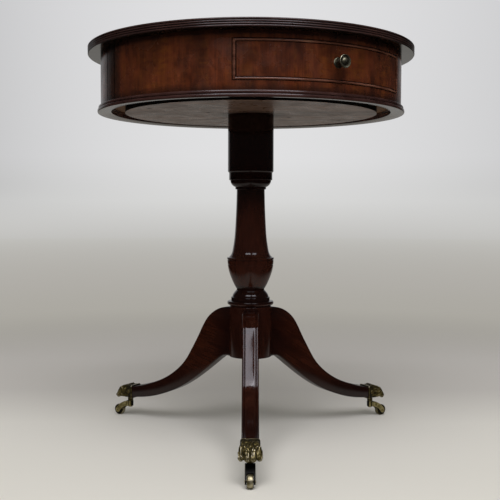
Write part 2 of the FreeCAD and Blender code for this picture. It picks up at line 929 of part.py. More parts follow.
def strap_screws_at():
    """Azimuth, seat and direction of each screw through the plate."""
    places = (strap_hub_screw_place, strap_screw_place)
    return [(azimuth, strap_screw_seat(s)) for azimuth in leg_azimuths() for s in places]


def leg_strap():
    """Flat iron plate under the hub, with an arm let into each leg."""
    strap = Part.makeCylinder(strap_hub_radius, strap_thick, FreeCAD.Vector(0, 0, column_lift - strap_thick))
    for azimuth in leg_azimuths():
        strap = strap.fuse(swung(strap_arm(strap_thick), azimuth))
    strap = strap.removeSplitter()
    for azimuth, (seat, into) in strap_screws_at():
        strap = strap.cut(swung(screw_hole(seat, into), azimuth))
    return strap


def strap_screws():
    """Screws that hold the plate to the hub and the legs."""
    return Part.makeCompound([swung(wood_screw(seat, into), azimuth) for azimuth, (seat, into) in strap_screws_at()])


def socket_section(s, half, foot, top):
    """Upright section across the socket, with its upper corners rounded."""
    round_in = socket_round * (1 - diagonal_share)
    low = top - socket_round
    flat = half - socket_round
    points = [(-half, foot), (half, foot), (half, low), (flat, top), (-flat, top), (-half, low)]
    here = [FreeCAD.Vector(s, y, z) for y, z in points]
    edges = [
        Part.makeLine(here[0], here[1]),
        Part.makeLine(here[1], here[2]),
        Part.Arc(here[2], FreeCAD.Vector(s, half - round_in, top - round_in), here[3]).toShape(),
        Part.makeLine(here[3], here[4]),
        Part.Arc(here[4], FreeCAD.Vector(s, round_in - half, top - round_in), here[5]).toShape(),
        Part.makeLine(here[5], here[0]),
    ]
    return Part.Wire(edges)


def sleeve(s_low, s_high, growth):
    """Straight length of the socket, grown outwards by a height."""
    half = socket_width / 2 + growth
    face = Part.Face(socket_section(s_low, half, socket_under - growth, socket_top + growth))
    return face.extrude(FreeCAD.Vector(s_high - s_low, 0, 0))


def toe(place):
    """One toe: rollers between the joints, with a ball at each."""
    lag = toe_lag * (abs(place) - 1 / 2)
    joints = []
    for index, (along, up) in enumerate(toe_joint_shares):
        spread = place * toe_spread * (1 if index else toe_fan_share)
        joints.append(FreeCAD.Vector(leg_reach + toe_radius * along - lag, spread, sole_height + toe_radius * up))
    body = Part.makeSphere(toe_radius, joints[0])
    for first, second in zip(joints, joints[1:]):
        roller = Part.makeCylinder(toe_radius, first.distanceToPoint(second), first, second - first)
        body = body.fuse([roller, Part.makeSphere(toe_radius, second)])
    return body


def cap_screws_at():
    """Seat and direction of the screw through each side of the socket."""
    z = (ankle_height + ankle_top) / 2
    return [((leg_reach + cap_screw_place, side * socket_width / 2, z), (0, -side, 0)) for side in (-1, 1)]


def paw_body():
    """Block between the socket and the toes, wider and lower towards them."""
    sections = [
        socket_section(leg_reach + socket_length, socket_width / 2, socket_under, socket_top),
        socket_section(leg_reach + paw_length, paw_width / 2, sole_height + paw_belly, socket_top - paw_drop),
    ]
    return Part.makeLoft(sections, True, True)


def paw():
    """Cast socket with a lip, four toes and the boss that the fork turns under."""
    lip = sleeve(leg_reach, leg_reach + socket_lip, socket_lip_height)
    cast = sleeve(leg_reach, leg_reach + socket_length, 0).fuse([lip, paw_body()])
    for index in range(toe_count):
        cast = cast.fuse(toe(index - (toe_count - 1) / 2))
    boss = Part.makeCylinder(boss_radius, boss_height + ankle_depth / 2, FreeCAD.Vector(pivot_s, 0, boss_under))
    cast = cast.fuse(boss).removeSplitter()
    hole_foot = ankle_height + (ankle_depth - tenon_depth) / 2
    hole = block((leg_reach, -tenon_thick / 2, hole_foot),
                 (leg_reach + tenon_length, tenon_thick / 2, hole_foot + tenon_depth))
    cast = cast.cut(hole)
    cast = cast.cut(Part.makeCylinder(pivot_radius, pivot_bite, FreeCAD.Vector(pivot_s, 0, boss_under)))
    for seat, into in cap_screws_at():
        cast = cast.cut(screw_hole(seat, into, cap_screw_length))
    return cast


def cap_screws():
    """Screws that hold a paw on its leg."""
    return Part.makeCompound([wood_screw(seat, into, cap_screw_length) for seat, into in cap_screws_at()])


def castor_pin():
    """Riveted pin that a fork swivels on."""
    head_top = fork_foot - fork_gap
    shank = Part.makeCylinder(pivot_radius, boss_under + pivot_bite - head_top, FreeCAD.Vector(pivot_s, 0, head_top))
    head = Part.makeCylinder(pivot_head_radius, pivot_head_thick,
                             FreeCAD.Vector(pivot_s, 0, head_top - pivot_head_thick))
    return shank.fuse(head).removeSplitter()


def fork_side_face():
    """Side view of the fork's arms, a horn from the boss down to the axle."""
    left = pivot_s - fork_boss_radius
    axle_z = wheel_radius
    crown = (pivot_s + fork_boss_radius * crown_share, fork_top)
    root = (pivot_s + fork_boss_radius * root_share, fork_foot)

    def on_end(turn):
        angle = math.radians(turn)
        return wheel_s + fork_end_radius * math.cos(angle), axle_z + fork_end_radius * math.sin(angle)

    def beside(a, b, shares):
        return tuple((p + q) / 2 + fork_end_radius * share for p, q, share in zip(a, b, shares))

    end_out = on_end(end_out_turn)
    end_in = on_end(end_in_turn)
    return outline(
        upright,
        (left, fork_foot),
        root,
        (beside(root, end_in, horn_under_shares), end_in),
        (on_end(end_middle_turn), end_out),
        (beside(end_out, crown, horn_over_shares), crown),
        (left, fork_top),
    )


def castor_fork():
    """Fork that carries a wheel."""
    arms = fork_side_face()
    arms.translate(FreeCAD.Vector(0, -fork_width / 2, 0))
    arms = arms.extrude(FreeCAD.Vector(0, fork_width, 0))
    boss_half = fork_boss_radius
    narrow = block((pivot_s - boss_half - overrun, -fork_width, fork_foot), (pivot_s, fork_width, fork_top))
    boss = Part.makeCylinder(boss_half, fork_boss_height, FreeCAD.Vector(pivot_s, 0, fork_foot))
    fork = arms.cut(narrow).fuse(boss).removeSplitter()
    slot_half = fork_width / 2 - fork_arm
    slot = Part.makeCylinder(wheel_radius + wheel_clearance, 2 * slot_half,
                             FreeCAD.Vector(wheel_s, -slot_half, wheel_radius), FreeCAD.Vector(0, 1, 0))
    fork = fork.cut(slot)
    fork = fork.cut(Part.makeCylinder(pivot_radius + pivot_gap, fork_boss_height,
                                      FreeCAD.Vector(pivot_s, 0, fork_foot)))
    return fork.cut(Part.makeCylinder(axle_radius, fork_width, FreeCAD.Vector(wheel_s, -fork_width / 2, wheel_radius),
                                      FreeCAD.Vector(0, 1, 0)))


def castor_axle():
    """Rivet through the fork and the wheel."""
    length = fork_width + 2 * axle_end
    return Part.makeCylinder(axle_radius, length, FreeCAD.Vector(wheel_s, -length / 2, wheel_radius),
                             FreeCAD.Vector(0, 1, 0))


def castor_wheel():
    """Solid brass wheel with eased edges."""
    bore = axle_radius + axle_gap
    half = wheel_width / 2
    face = outline(upright, (bore, -half), (wheel_radius - wheel_ease, -half), (wheel_radius, -half + wheel_ease),
                   (wheel_radius, half - wheel_ease), (wheel_radius - wheel_ease, half), (bore, half))
    wheel = turned(face)
    wheel.rotate(FreeCAD.Vector(0, 0, 0), FreeCAD.Vector(1, 0, 0), 90)
    wheel.translate(FreeCAD.Vector(wheel_s, 0, wheel_radius))
    return wheel


def all_nodes():
    """Every piece by name."""
    nodes = {
        "top_panel": top_panel(),
        "top_edge": top_edge(),
        "frieze": frieze(),
        "base_moulding": moulding(),
        "floor_board": floor_board(),
        "glue_blocks": glue_blocks(),
        "runner_right": runner(),
        "runner_left": mirrored(runner()),
        "guide_right": guide(),
        "guide_left": mirrored(guide()),
        "kicker_right": kicker(),
        "kicker_left": mirrored(kicker()),
        "top_screws": top_screws(),
        "drawer_stops": drawer_stops(),
        "drawer_front": drawer_front(),
        "bead_top": level_bead(drawer_top, -1),
        "bead_bottom": level_bead(drawer_foot, 1),
        "bead_right": end_bead(),
        "bead_left": mirrored(end_bead()),
        "drawer_side_right": drawer_side(),
        "drawer_side_left": mirrored(drawer_side()),
        "drawer_back": drawer_back(),
        "drawer_bottom": drawer_panel(),
        "knob": knob(),
        "knob_screw": knob_screw(),
        "bearing_disc": bearing_disc(),
        "disc_screws": disc_screws(),
        "felt_ring": felt_ring(),
        "spindle": spindle(),
        "spindle_washer": spindle_washer(),
        "spindle_nut": spindle_nut(),
        "column": column(),
        "leg_strap": leg_strap(),
        "strap_screws": strap_screws(),
    }
    by_leg = {
        "leg": leg(),
        "paw": paw(),
        "cap_screws": cap_screws(),
        "castor_pin": castor_pin(),
        "castor_fork": castor_fork(),
        "castor_axle": castor_axle(),
        "castor_wheel": castor_wheel(),
    }
    for place, azimuth in zip(("front", "right", "left"), leg_azimuths()):
        for name, shape in by_leg.items():
            nodes[name + "_" + place] = swung(shape, azimuth)
    return nodes


os.makedirs("parts", exist_ok=True)
for node, shape in all_nodes().items():
    shape.exportStep("parts/" + node + ".step")
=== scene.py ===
import math
from contextlib import contextmanager

import bmesh
import bpy
import numpy as np
from mathutils import Matrix, Vector


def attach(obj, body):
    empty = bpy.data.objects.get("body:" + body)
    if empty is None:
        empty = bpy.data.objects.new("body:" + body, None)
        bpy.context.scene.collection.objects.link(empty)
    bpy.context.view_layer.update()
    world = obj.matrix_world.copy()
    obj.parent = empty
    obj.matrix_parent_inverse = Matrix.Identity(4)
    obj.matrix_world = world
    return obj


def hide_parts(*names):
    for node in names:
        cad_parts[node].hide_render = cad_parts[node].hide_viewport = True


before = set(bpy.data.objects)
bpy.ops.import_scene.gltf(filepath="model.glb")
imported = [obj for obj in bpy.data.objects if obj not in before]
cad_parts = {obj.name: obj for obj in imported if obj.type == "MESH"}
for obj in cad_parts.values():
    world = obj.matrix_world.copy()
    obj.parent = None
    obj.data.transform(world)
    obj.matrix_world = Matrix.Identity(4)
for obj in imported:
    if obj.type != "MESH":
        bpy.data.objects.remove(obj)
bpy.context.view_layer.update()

# Looks of a revolving drum table: polished mahogany, brass lion-paw castors.
# Shapes are worked out in millimetres and turned to metres when a mesh is made.
# An azimuth runs from -Y towards +X, as in the frame. In a leg's frame, s runs out from the axis, y across
# and z up.

MM = 0.001
scene = bpy.context.scene
scene.view_settings.view_transform = "Standard"

# Sizes that the new pieces share with the frame
LEG_AZIMUTHS = {"front": -30.0, "right": 90.0, "left": 210.0}
DRUM_RADIUS = 253.0
TOP_UNDER = 646.8
REED = 3.3
COLUMN_LIFT = 138.0
HUB_RADIUS = 36.3
RING_INNER = 236.0
RING_OUTER = 258.7
RING_FOOT = 552.0
FRIEZE_FOOT = 562.3
DRAWER_HALF = 148.5
DRAWER_FOOT = 577.0
DRAWER_TOP = 634.6
BEAD_WIDTH = 3.2
DISC_UNDER = 553.0
FELT_UNDER = 562.0
LEG_REACH = 249.0
ANKLE_HEIGHT = 39.2
ANKLE_TOP = 58.6
LEG_CREST = 222.8
WHEEL_S = 287.0
WHEEL_RADIUS = 10.0
WHEEL_WIDTH = 9.4
AXLE_RADIUS = 1.7


# Small helpers for sizes, places and colours

def mm(*sizes):
    """Sizes in metres from millimetres."""
    return tuple(size * MM for size in sizes)


def share(value):
    """Value kept between 0 and 1."""
    return min(max(value, 0.0), 1.0)


def srgb(code):
    """Linear colour of an sRGB hex code."""
    parts = [int(code[i:i + 2], 16) / 255 for i in (1, 3, 5)]
    return tuple(p / 12.92 if p <= 0.04045 else ((p + 0.055) / 1.055) ** 2.4 for p in parts) + (1.0,)


def round_table(azimuth, distance, height=0.0):
    """Point at an azimuth, at a distance from the turning axis."""
    turn = math.radians(azimuth)
    return Vector((distance * math.sin(turn), -distance * math.cos(turn), height))


def leg_turn(azimuth):
    """Turn from a shape built along +X to a leg's azimuth."""
    return Matrix.Rotation(math.radians(azimuth - 90), 4, "Z")


@contextmanager
def reshaped(mesh):
    """Lends a mesh's editable form, and writes it back."""
    form = bmesh.new()
    form.from_mesh(mesh)
    yield form
    form.to_mesh(mesh)
    form.free()


# Camera at the photograph's place

CAMERA_AZIMUTH = -30.0
CAMERA_DISTANCE = 1.4713
CAMERA_HEIGHT = 0.3991
CAMERA_SHIFT = -0.001
CAMERA_PITCH = 3.01
CAMERA_ROLL = 0.132
LENS_MM = 61.45
SENSOR_MM = 36


def make_camera():
    """Camera a little above mid height, straight in front of one leg."""
    data = bpy.data.cameras.new("camera")
    data.lens = LENS_MM
    data.sensor_width = SENSOR_MM
    camera = bpy.data.objects.new("camera", data)
    scene.collection.objects.link(camera)
    turn, pitch = math.radians(CAMERA_AZIMUTH), math.radians(CAMERA_PITCH)
    right = Vector((math.cos(turn), math.sin(turn), 0))
    place = round_table(CAMERA_AZIMUTH, CAMERA_DISTANCE, CAMERA_HEIGHT) + right * CAMERA_SHIFT
    ahead = -round_table(CAMERA_AZIMUTH, math.cos(pitch)) - Vector((0, 0, math.sin(pitch)))
    up = right.cross(ahead)
    turned = Matrix((right, up, -ahead)).transposed().to_4x4()
    roll = Matrix.Rotation(math.radians(CAMERA_ROLL), 4, "Z")
    camera.matrix_world = Matrix.Translation(place) @ turned @ roll
    scene.camera = camera


# Shader and geometry trees

def add(tree, kind, *inputs, out=0, stops=(), **settings):
    """Adds a node with its settings and links, and gives one of its outputs, or the node where out is None.

    A kind without a family is a shader node, and a kind may be followed by its operation. Inputs are values or
    outputs, in the node's own order or in a dict by name or place, and a list links several outputs to one
    input. Stops are the places and colours of a colour ramp.
    """
    kind, _, operation = kind.partition(" ")
    family = "" if kind.startswith(("Geometry", "Function", "NodeGroup")) else "ShaderNode"
    made = tree.nodes.new(family + kind)
    if operation:
        made.operation = operation
    for name, value in settings.items():
        setattr(made, name, value)
    named = inputs[0] if inputs and isinstance(inputs[0], dict) else dict(enumerate(inputs))
    for key, value in named.items():
        if isinstance(value, (bpy.types.NodeSocket, list)):
            for source in value if isinstance(value, list) else [value]:
                tree.links.new(source, made.inputs[key])
        else:
            made.inputs[key].default_value = value
    while stops and len(made.color_ramp.elements) < len(stops):
        made.color_ramp.elements.new(0.5)
    for index, (place, colour) in enumerate(stops):
        made.color_ramp.elements[index].position = place
        made.color_ramp.elements[index].color = srgb(colour)
    return made if out is None else made.outputs[out]


# Stage: pale floor, pale room and soft lamps, with sizes in metres

FLOOR_RADIUS = 9.0
PAPER_FRONT = -0.535
PAPER_FRONT_FADE = 0.3
PAPER_SIDES = (0.4, 0.62)
PAPER_IN_MIRRORS = 0.62
FAR_FLOOR = (0.75, 1.9)


def make_floor():
    """Pale floor that fades into the room at its far edge, and is clear when it's seen from below."""
    mesh = bpy.data.meshes.new("floor")
    with reshaped(mesh) as form:
        bmesh.ops.create_circle(form, cap_ends=True, radius=FLOOR_RADIUS, segments=96)
    floor = bpy.data.objects.new("floor", mesh)
    scene.collection.objects.link(floor)
    material, tree, place = new_material("painted_studio_floor")
    mesh.materials.append(material)
    ahead = -round_table(CAMERA_AZIMUTH, 1)
    along = add(tree, "VectorMath DOT_PRODUCT", place, ahead, out="Value")
    across = add(tree, "VectorMath DOT_PRODUCT", place, (-ahead.y, ahead.x, 0), out="Value")
    away = add(tree, "VectorMath LENGTH", place, out="Value")
    path = add(tree, "LightPath", out=None).outputs
    glossy = path["Is Glossy Ray"]

    # The lit paper ends in front of the table and beside it in reflections, which see a dim studio there
    wide = add(tree, "Math ABSOLUTE", across)
    past = add(tree, "Math MAXIMUM", add(tree, "Math SUBTRACT", wide, 0.1), 0.0)
    inside = add(tree, "Math SUBTRACT", along, add(tree, "Math ADD", past, PAPER_FRONT))
    behind = add(tree, "MapRange", inside, 0.0, PAPER_FRONT_FADE, interpolation_type="SMOOTHSTEP")
    widening = add(tree, "Math MULTIPLY", add(tree, "Math MAXIMUM", along, 0.0), 0.3)
    beside = add(tree, "MapRange", add(tree, "Math SUBTRACT", wide, widening), *PAPER_SIDES, 1.0, 0.0)
    lit = add(tree, "Math MULTIPLY", behind, beside)
    direct = add(tree, "Math SUBTRACT", 1.0, glossy)
    paper = add(tree, "Math MAXIMUM", direct, lit)
    near_paper = add(tree, "Math MAXIMUM", direct, add(tree, "Math MULTIPLY", lit, PAPER_IN_MIRRORS))

    # Near the table the paper is lit, and further away it glows as the room does. The near stops are painted
    # lighter under the table and just behind it, a painted light that softens the table's shadow on the floor.
    run = add(tree, "Math MULTIPLY_ADD", along, 1 / 4, 1 / 4, use_clamp=True)
    near = add(tree, "ValToRGB", run, stops=((0.0, "#e3e0d1"), (0.2, "#e8e5d7"), (0.27, "#edeadd"),
                                             (0.34, "#ddd9cf"), (0.43, "#e2ded5"), (0.5, "#dedad1"),
                                             (1.0, "#bebbb3")))
    near = add(tree, "Mix", {0: near_paper, 6: srgb("#141312"), 7: near}, out=2, data_type="RGBA")
    far = add(tree, "ValToRGB", add(tree, "Math DIVIDE", away, FLOOR_RADIUS, use_clamp=True),
              stops=((0.0, "#aaa7a0"), (0.15, "#a9a69e"), (0.33, "#afaca6"), (1.0, "#c0bfbb")))
    blend = add(tree, "MapRange", away, *FAR_FLOOR, interpolation_type="SMOOTHSTEP")
    seen = add(tree, "Math MAXIMUM", path["Is Camera Ray"], path["Is Transmission Ray"])
    seen = add(tree, "Math MULTIPLY", blend, add(tree, "Math MAXIMUM", seen, glossy))
    mixed = add(tree, "MixShader", seen, add(tree, "BsdfDiffuse", near), add(tree, "Emission", far, paper))
    below = add(tree, "NewGeometry", out="Backfacing")
    one_sided = add(tree, "MixShader", below, mixed, add(tree, "BsdfTransparent"))
    add(tree, "OutputMaterial", one_sided, out=None)


def make_room():
    """World: a pale backdrop to the eye, a dim room behind the camera in reflections, and even soft light."""
    world = bpy.data.worlds.new("room")
    scene.world = world
    world.use_nodes = True
    tree = world.node_tree
    tree.nodes.clear()
    way = add(tree, "TexCoord", out="Generated")
    height = add(tree, "SeparateXYZ", way, out="Z")
    seen = add(tree, "ValToRGB", add(tree, "MapRange", height, -0.06, 0.3),
               stops=((0.0, "#b9b8b4"), (0.06, "#bfbebb"), (0.18, "#d5d5d4"), (0.32, "#dededf"),
                      (1.0, "#dedee0")))

    # The backdrop falls off to both sides above the horizon
    towards = round_table(CAMERA_AZIMUTH, 1)
    aside = add(tree, "VectorMath DOT_PRODUCT", way, (-towards.y, towards.x, 0), out="Value")
    uneven = add(tree, "Math MULTIPLY_ADD", aside, -1.4, 2.4)
    fall = add(tree, "Math MULTIPLY", add(tree, "Math MULTIPLY", aside, aside), uneven)
    above = add(tree, "MapRange", height, -0.038, 0.03, interpolation_type="SMOOTHSTEP")
    level = add(tree, "Math SUBTRACT", 1.02, add(tree, "Math MULTIPLY", fall, above))
    level = add(tree, "Math MAXIMUM", level, 0.78)

    # Reflections see the backdrop dimmed, and next to nothing of the room behind the camera
    front = add(tree, "VectorMath DOT_PRODUCT", way, towards, out="Value")
    front = add(tree, "Math MULTIPLY_ADD", aside, 0.1, front)
    dim = add(tree, "MapRange", front, -0.90, -0.72, 0.66, 0.03, interpolation_type="SMOOTHSTEP")
    path = add(tree, "LightPath", out=None).outputs
    eye = add(tree, "Math ADD", path["Is Camera Ray"], path["Is Transmission Ray"], use_clamp=True)
    light = add(tree, "Background", srgb("#f4f4f6"), 0.26)
    unseen = add(tree, "MixShader", path["Is Glossy Ray"], light, add(tree, "Background", seen, dim))
    both = add(tree, "MixShader", eye, unseen, add(tree, "Background", seen, level))
    add(tree, "OutputWorld", both, out=None)


LAMP_AIM = (0, 0, 0.3)

# Lamps: name, turn from the camera, elevation, distance, size, radiance and colour
LAMPS = (("left_lamp", -17, 51.5, 2.0, (0.95, 1.35), 4.4, "#f6f5ff"),
         ("right_lamp", 26, 51.5, 2.0, (0.71, 1.35), 4.4, "#f6f5ff"),
         ("ceiling_lamp", 0, 84, 2.4, (2.2, 2.2), 0.75, "#fffdf8"))


def soft_box(name, azimuth, elevation, distance, size, radiance, colour):
    """Flat soft lamp that faces the table."""
    data = bpy.data.lights.new(name, "AREA")
    data.shape = "RECTANGLE"
    data.size, data.size_y = size
    data.energy = radiance * math.pi * size[0] * size[1]
    data.color = srgb(colour)[:3]
    lamp = bpy.data.objects.new(name, data)
    scene.collection.objects.link(lamp)
    rise = math.radians(elevation)
    back = round_table(azimuth, math.cos(rise), math.sin(rise))
    lamp.location = Vector(LAMP_AIM) + back * distance
    lamp.rotation_mode = "QUATERNION"
    lamp.rotation_quaternion = back.to_track_quat("Z", "Y")
    lamp.visible_camera = False


def make_lamps():
    """Two tall lamps side by side over the front, with a gap between them, and a wide one overhead."""
    for name, turn, *settings in LAMPS:
        soft_box(name, CAMERA_AZIMUTH + turn, *settings)


# Materials

def new_material(name):
    """Empty material, its tree and Object coordinates."""
    material = bpy.data.materials.new(name)
    material.use_nodes = True
    tree = material.node_tree
    tree.nodes.clear()
    return material, tree, add(tree, "TexCoord", out="Object")


def pattern(tree, place, size_mm, detail, roughness, distortion=0.0, stretch=(1, 1, 1)):
    """Cloudy pattern whose features are about a size across, on a place that is multiplied along each axis."""
    place = add(tree, "Mapping", {"Vector": place, "Scale": stretch})
    return add(tree, "TexNoise", {"Vector": place, "Scale": 1 / (size_mm * MM), "Detail": detail,
                                  "Roughness": roughness, "Distortion": distortion})


def stain_and_shade(tree, base, colour, value, limits, shares=(0.0, 1.0), smooth=False):
    """Colour under another one, whose share goes from the first to the second between a value's limits; it lays
    stains and also painted shade.
    """
    ease = "SMOOTHSTEP" if smooth else "LINEAR"
    cover = add(tree, "MapRange", value, *limits, *shares, interpolation_type=ease)
    return add(tree, "Mix", {0: cover, 6: base, 7: srgb(colour)}, out=2, data_type="RGBA")


def facing_up(tree):
    """How far a face looks up: 1 on a level top and -1 on an underside."""
    return add(tree, "SeparateXYZ", add(tree, "TexCoord", out="Normal"), out="Z")


def facing_aside(tree, place):
    """How far a face looks square to the line that runs out from the axis, to either side."""
    out = add(tree, "VectorMath NORMALIZE", add(tree, "VectorMath MULTIPLY", place, (1, 1, 0)))
    square = add(tree, "VectorMath CROSS_PRODUCT", out, (0, 0, 1))
    facing = add(tree, "TexCoord", out="Normal")
    return add(tree, "Math ABSOLUTE", add(tree, "VectorMath DOT_PRODUCT", facing, square, out="Value"))


def from_axis(tree, place):
    """Distance from the turning axis."""
    return add(tree, "VectorMath LENGTH", add(tree, "VectorMath MULTIPLY", place, (1, 1, 0)), out="Value")


def round_the_drum(tree, place):
    """Place on a cylinder as distance round and height, so that a pattern follows the wall."""
    x, y, z = add(tree, "SeparateXYZ", place, out=None).outputs
    around = add(tree, "Math MULTIPLY", add(tree, "Math ARCTAN2", y, x), DRUM_RADIUS * MM)
    return add(tree, "CombineXYZ", around, 0.0, z)


RIPPLE = 0.05
GLOSS = 0.9


def mahogany(name, colours, grain, figure_mm=(60, 14, 14), polish=0.09, follow=None, shade=None,
             shaded_dull_under=False, contrast=1.0, gap_and_shadow_lines=None):
    """French-polished mahogany: deep red-brown wood under a thin hard gloss.

    Long darker streaks and short open pores show along the grain, a slow figure shifts the tone, and the polish
    over it stays smooth, so the wood glows through one clean reflection. grain is the turn that puts the grain
    on the X axis. Faces that look down may be painted darker, a painted shade, and left hardly polished. No
    polish may lie on given dark lines, which are partly real gaps and joints and partly painted shadow.
    """
    material, tree, place = new_material(name)
    place = follow(tree, place) if follow else place
    along = add(tree, "Mapping", {"Vector": place, "Rotation": grain})
    figure = pattern(tree, along, 20, 3, 0.5, 0.6, tuple(20 / size for size in figure_mm))
    streak = pattern(tree, along, 2.6, 6, 0.65, stretch=(0.035, 1, 1))
    pores = pattern(tree, along, 0.7, 2, 0.5, stretch=(0.05, 1, 1))
    tone = add(tree, "Math MULTIPLY_ADD", streak, 0.55, add(tree, "Math MULTIPLY", figure, 0.6))
    tone = add(tree, "Math MULTIPLY_ADD", tone, contrast, 0.58 * (1 - contrast))
    base = add(tree, "ValToRGB", tone, stops=tuple(zip((0.36, 0.52, 0.66, 0.8), colours)))
    base = stain_and_shade(tree, base, colours[0], pores, (0.62, 0.74), (0.0, 0.45 * contrast))
    if shade:
        base = shade(tree, place, base)
    dull = add(tree, "MapRange", pattern(tree, place, 45, 3, 0.6), 0.35, 0.75, polish, polish * 2.2)
    ripple = pattern(tree, place, 26, 2, 0.5)
    wavy = add(tree, "Bump", {"Strength": RIPPLE, "Distance": 0.6 * MM, "Height": ripple})
    fine = add(tree, "Bump", {"Strength": RIPPLE * 2, "Distance": 0.1 * MM, "Height": pores, "Normal": wavy})
    # No polish on the dark lines, which are partly gaps and joints and partly painted shadow.
    coat = add(tree, "Math MULTIPLY_ADD", gap_and_shadow_lines(tree), -0.8, GLOSS) if gap_and_shadow_lines else GLOSS
    # Painted shade: faces that look down are painted darker, and their polish is dulled.
    if shaded_dull_under:
        under = add(tree, "MapRange", facing_up(tree), -0.98, -0.9, 1.0, 0.0)
        wear_and_painted_light = add(tree, "Math MULTIPLY", under, pattern(tree, place, 14, 4, 0.65))
        coat = add(tree, "Math MULTIPLY_ADD", wear_and_painted_light, -0.2, GLOSS)
        dull = add(tree, "Math MULTIPLY_ADD", add(tree, "Math SUBTRACT", 0.18, dull), under, dull)
        base = stain_and_shade(tree, base, "#20140d", under, (0.0, 1.0), (0.0, 0.6))
    surface = add(tree, "BsdfPrincipled", {"Base Color": base, "Roughness": 0.5, "Specular IOR Level": 0.0,
                                           "Coat Weight": coat, "Coat Roughness": dull, "Coat IOR": 1.5,
                                           "Coat Normal": wavy, "Normal": fine})
    add(tree, "OutputMaterial", surface, out=None)
    return material


def ribbon_figure(tree, place, base):
    """Mottled ribbon figure of quarter-cut veneer: broad upright bands with short level flecks."""
    bands = add(tree, "MapRange", pattern(tree, place, 17, 3, 0.6, 0.4, (1, 1, 0.1)), 0.42, 0.68)
    flecks = add(tree, "MapRange", pattern(tree, place, 12, 3, 0.5, 0.8, (0.55, 1, 1.6)), 0.38, 0.66)
    both = add(tree, "Math MULTIPLY", bands, flecks)
    base = stain_and_shade(tree, base, "#663714", both, (0.0, 1.0), (0.0, 0.85))
    clouds = pattern(tree, place, 42, 4, 0.6, 0.5, (1, 1, 0.4))
    return stain_and_shade(tree, base, "#25110b", clouds, (0.46, 0.66), (0.0, 0.6))


# The drum's wall: half the width of the band at each side, and dark lines beside the drawer as place, width and
# depth; these lines are partly gaps and partly painted shadow cast by the drawer's bead
BAND_HALF = 15.0
BEAD_GAPS_AND_SHADOWS = ((-BEAD_WIDTH - 0.5, 0.9, 0.95), (0.55, 0.8, 0.9))


def drum_gaps_and_bead_shadows(tree):
    """Where the drum's wall is dark: the joints of its upright bands, and lines beside the drawer's bead that
    are partly gaps and partly painted shadow cast by the bead.
    """
    x, y, z = add(tree, "SeparateXYZ", add(tree, "TexCoord", out="Object"), out=None).outputs
    off_band = add(tree, "Math SUBTRACT", add(tree, "Math ABSOLUTE", y), BAND_HALF * MM)
    found = add(tree, "MapRange", add(tree, "Math ABSOLUTE", off_band), *mm(0.9, 1.8), 0.95, 0.0)
    beside = add(tree, "Math SUBTRACT", add(tree, "Math ABSOLUTE", x), DRAWER_HALF * MM)
    above = add(tree, "Math SUBTRACT", z, (DRAWER_TOP + DRAWER_FOOT) / 2 * MM)
    past = add(tree, "Math SUBTRACT", add(tree, "Math ABSOLUTE", above), (DRAWER_TOP - DRAWER_FOOT) / 2 * MM)
    edge = add(tree, "Math MAXIMUM", beside, past)
    front = add(tree, "Math LESS_THAN", y, -0.1)
    # Lines beside the drawer: partly gaps, partly painted shadow of the bead.
    for place_mm, width_mm, depth in BEAD_GAPS_AND_SHADOWS:
        off = add(tree, "Math ABSOLUTE", add(tree, "Math SUBTRACT", edge, place_mm * MM))
        line = add(tree, "MapRange", off, *mm(0.55 * width_mm, 1.2 * width_mm), depth, 0.0)
        found = add(tree, "Math MAXIMUM", found, add(tree, "Math MULTIPLY", line, front))
    return found


def drawer_lines(tree, place, base):
    """Ribbon figure with a darker band at each side framed by dark joints, painted shade beside each band,
    painted shadow under the top's overhang, the wall darker towards its foot, and dark lines by the drawer that
    are partly gaps and partly painted shadow of its bead.
    """
    base = ribbon_figure(tree, place, base)
    x, y, z = add(tree, "SeparateXYZ", add(tree, "TexCoord", out="Object"), out=None).outputs
    off_side = add(tree, "Math ABSOLUTE", y)
    base = stain_and_shade(tree, base, "#1a0c08", off_side, mm(BAND_HALF - 0.4, BAND_HALF + 0.2), (0.5, 0.0))
    # Painted shade beside each side band, where the wall turns away from the lamps.
    base = stain_and_shade(tree, base, "#1f0f08", off_side, mm(22, 46), (0.72, 0.0), smooth=True)
    # Painted shadow under the top's overhang.
    base = stain_and_shade(tree, base, "#080506", z, mm(636.8, 643.5), (0.0, 0.8), smooth=True)
    # The wall is painted darker towards its foot.
    base = stain_and_shade(tree, base, "#1a0d08", z, mm(564, 574), (0.55, 0.0), smooth=True)
    # Dark lines: joints, gaps and painted shadow of the bead.
    return stain_and_shade(tree, base, "#060302", drum_gaps_and_bead_shadows(tree), (0.0, 1.0))


def reed_quirk_shade(tree, place, base):
    """Painted shade, nearly black, in the quirks between the reeds of the top's edge."""
    rise = add(tree, "Math SUBTRACT", add(tree, "SeparateXYZ", place, out="Z"), TOP_UNDER * MM)
    reed = add(tree, "Math ADD", add(tree, "Math DIVIDE", rise, REED * MM), 0.5)
    quirk = add(tree, "Math PINGPONG", reed, 0.5)
    return stain_and_shade(tree, base, "#070403", quirk, (0.14, 0.37), (0.0, 0.97))


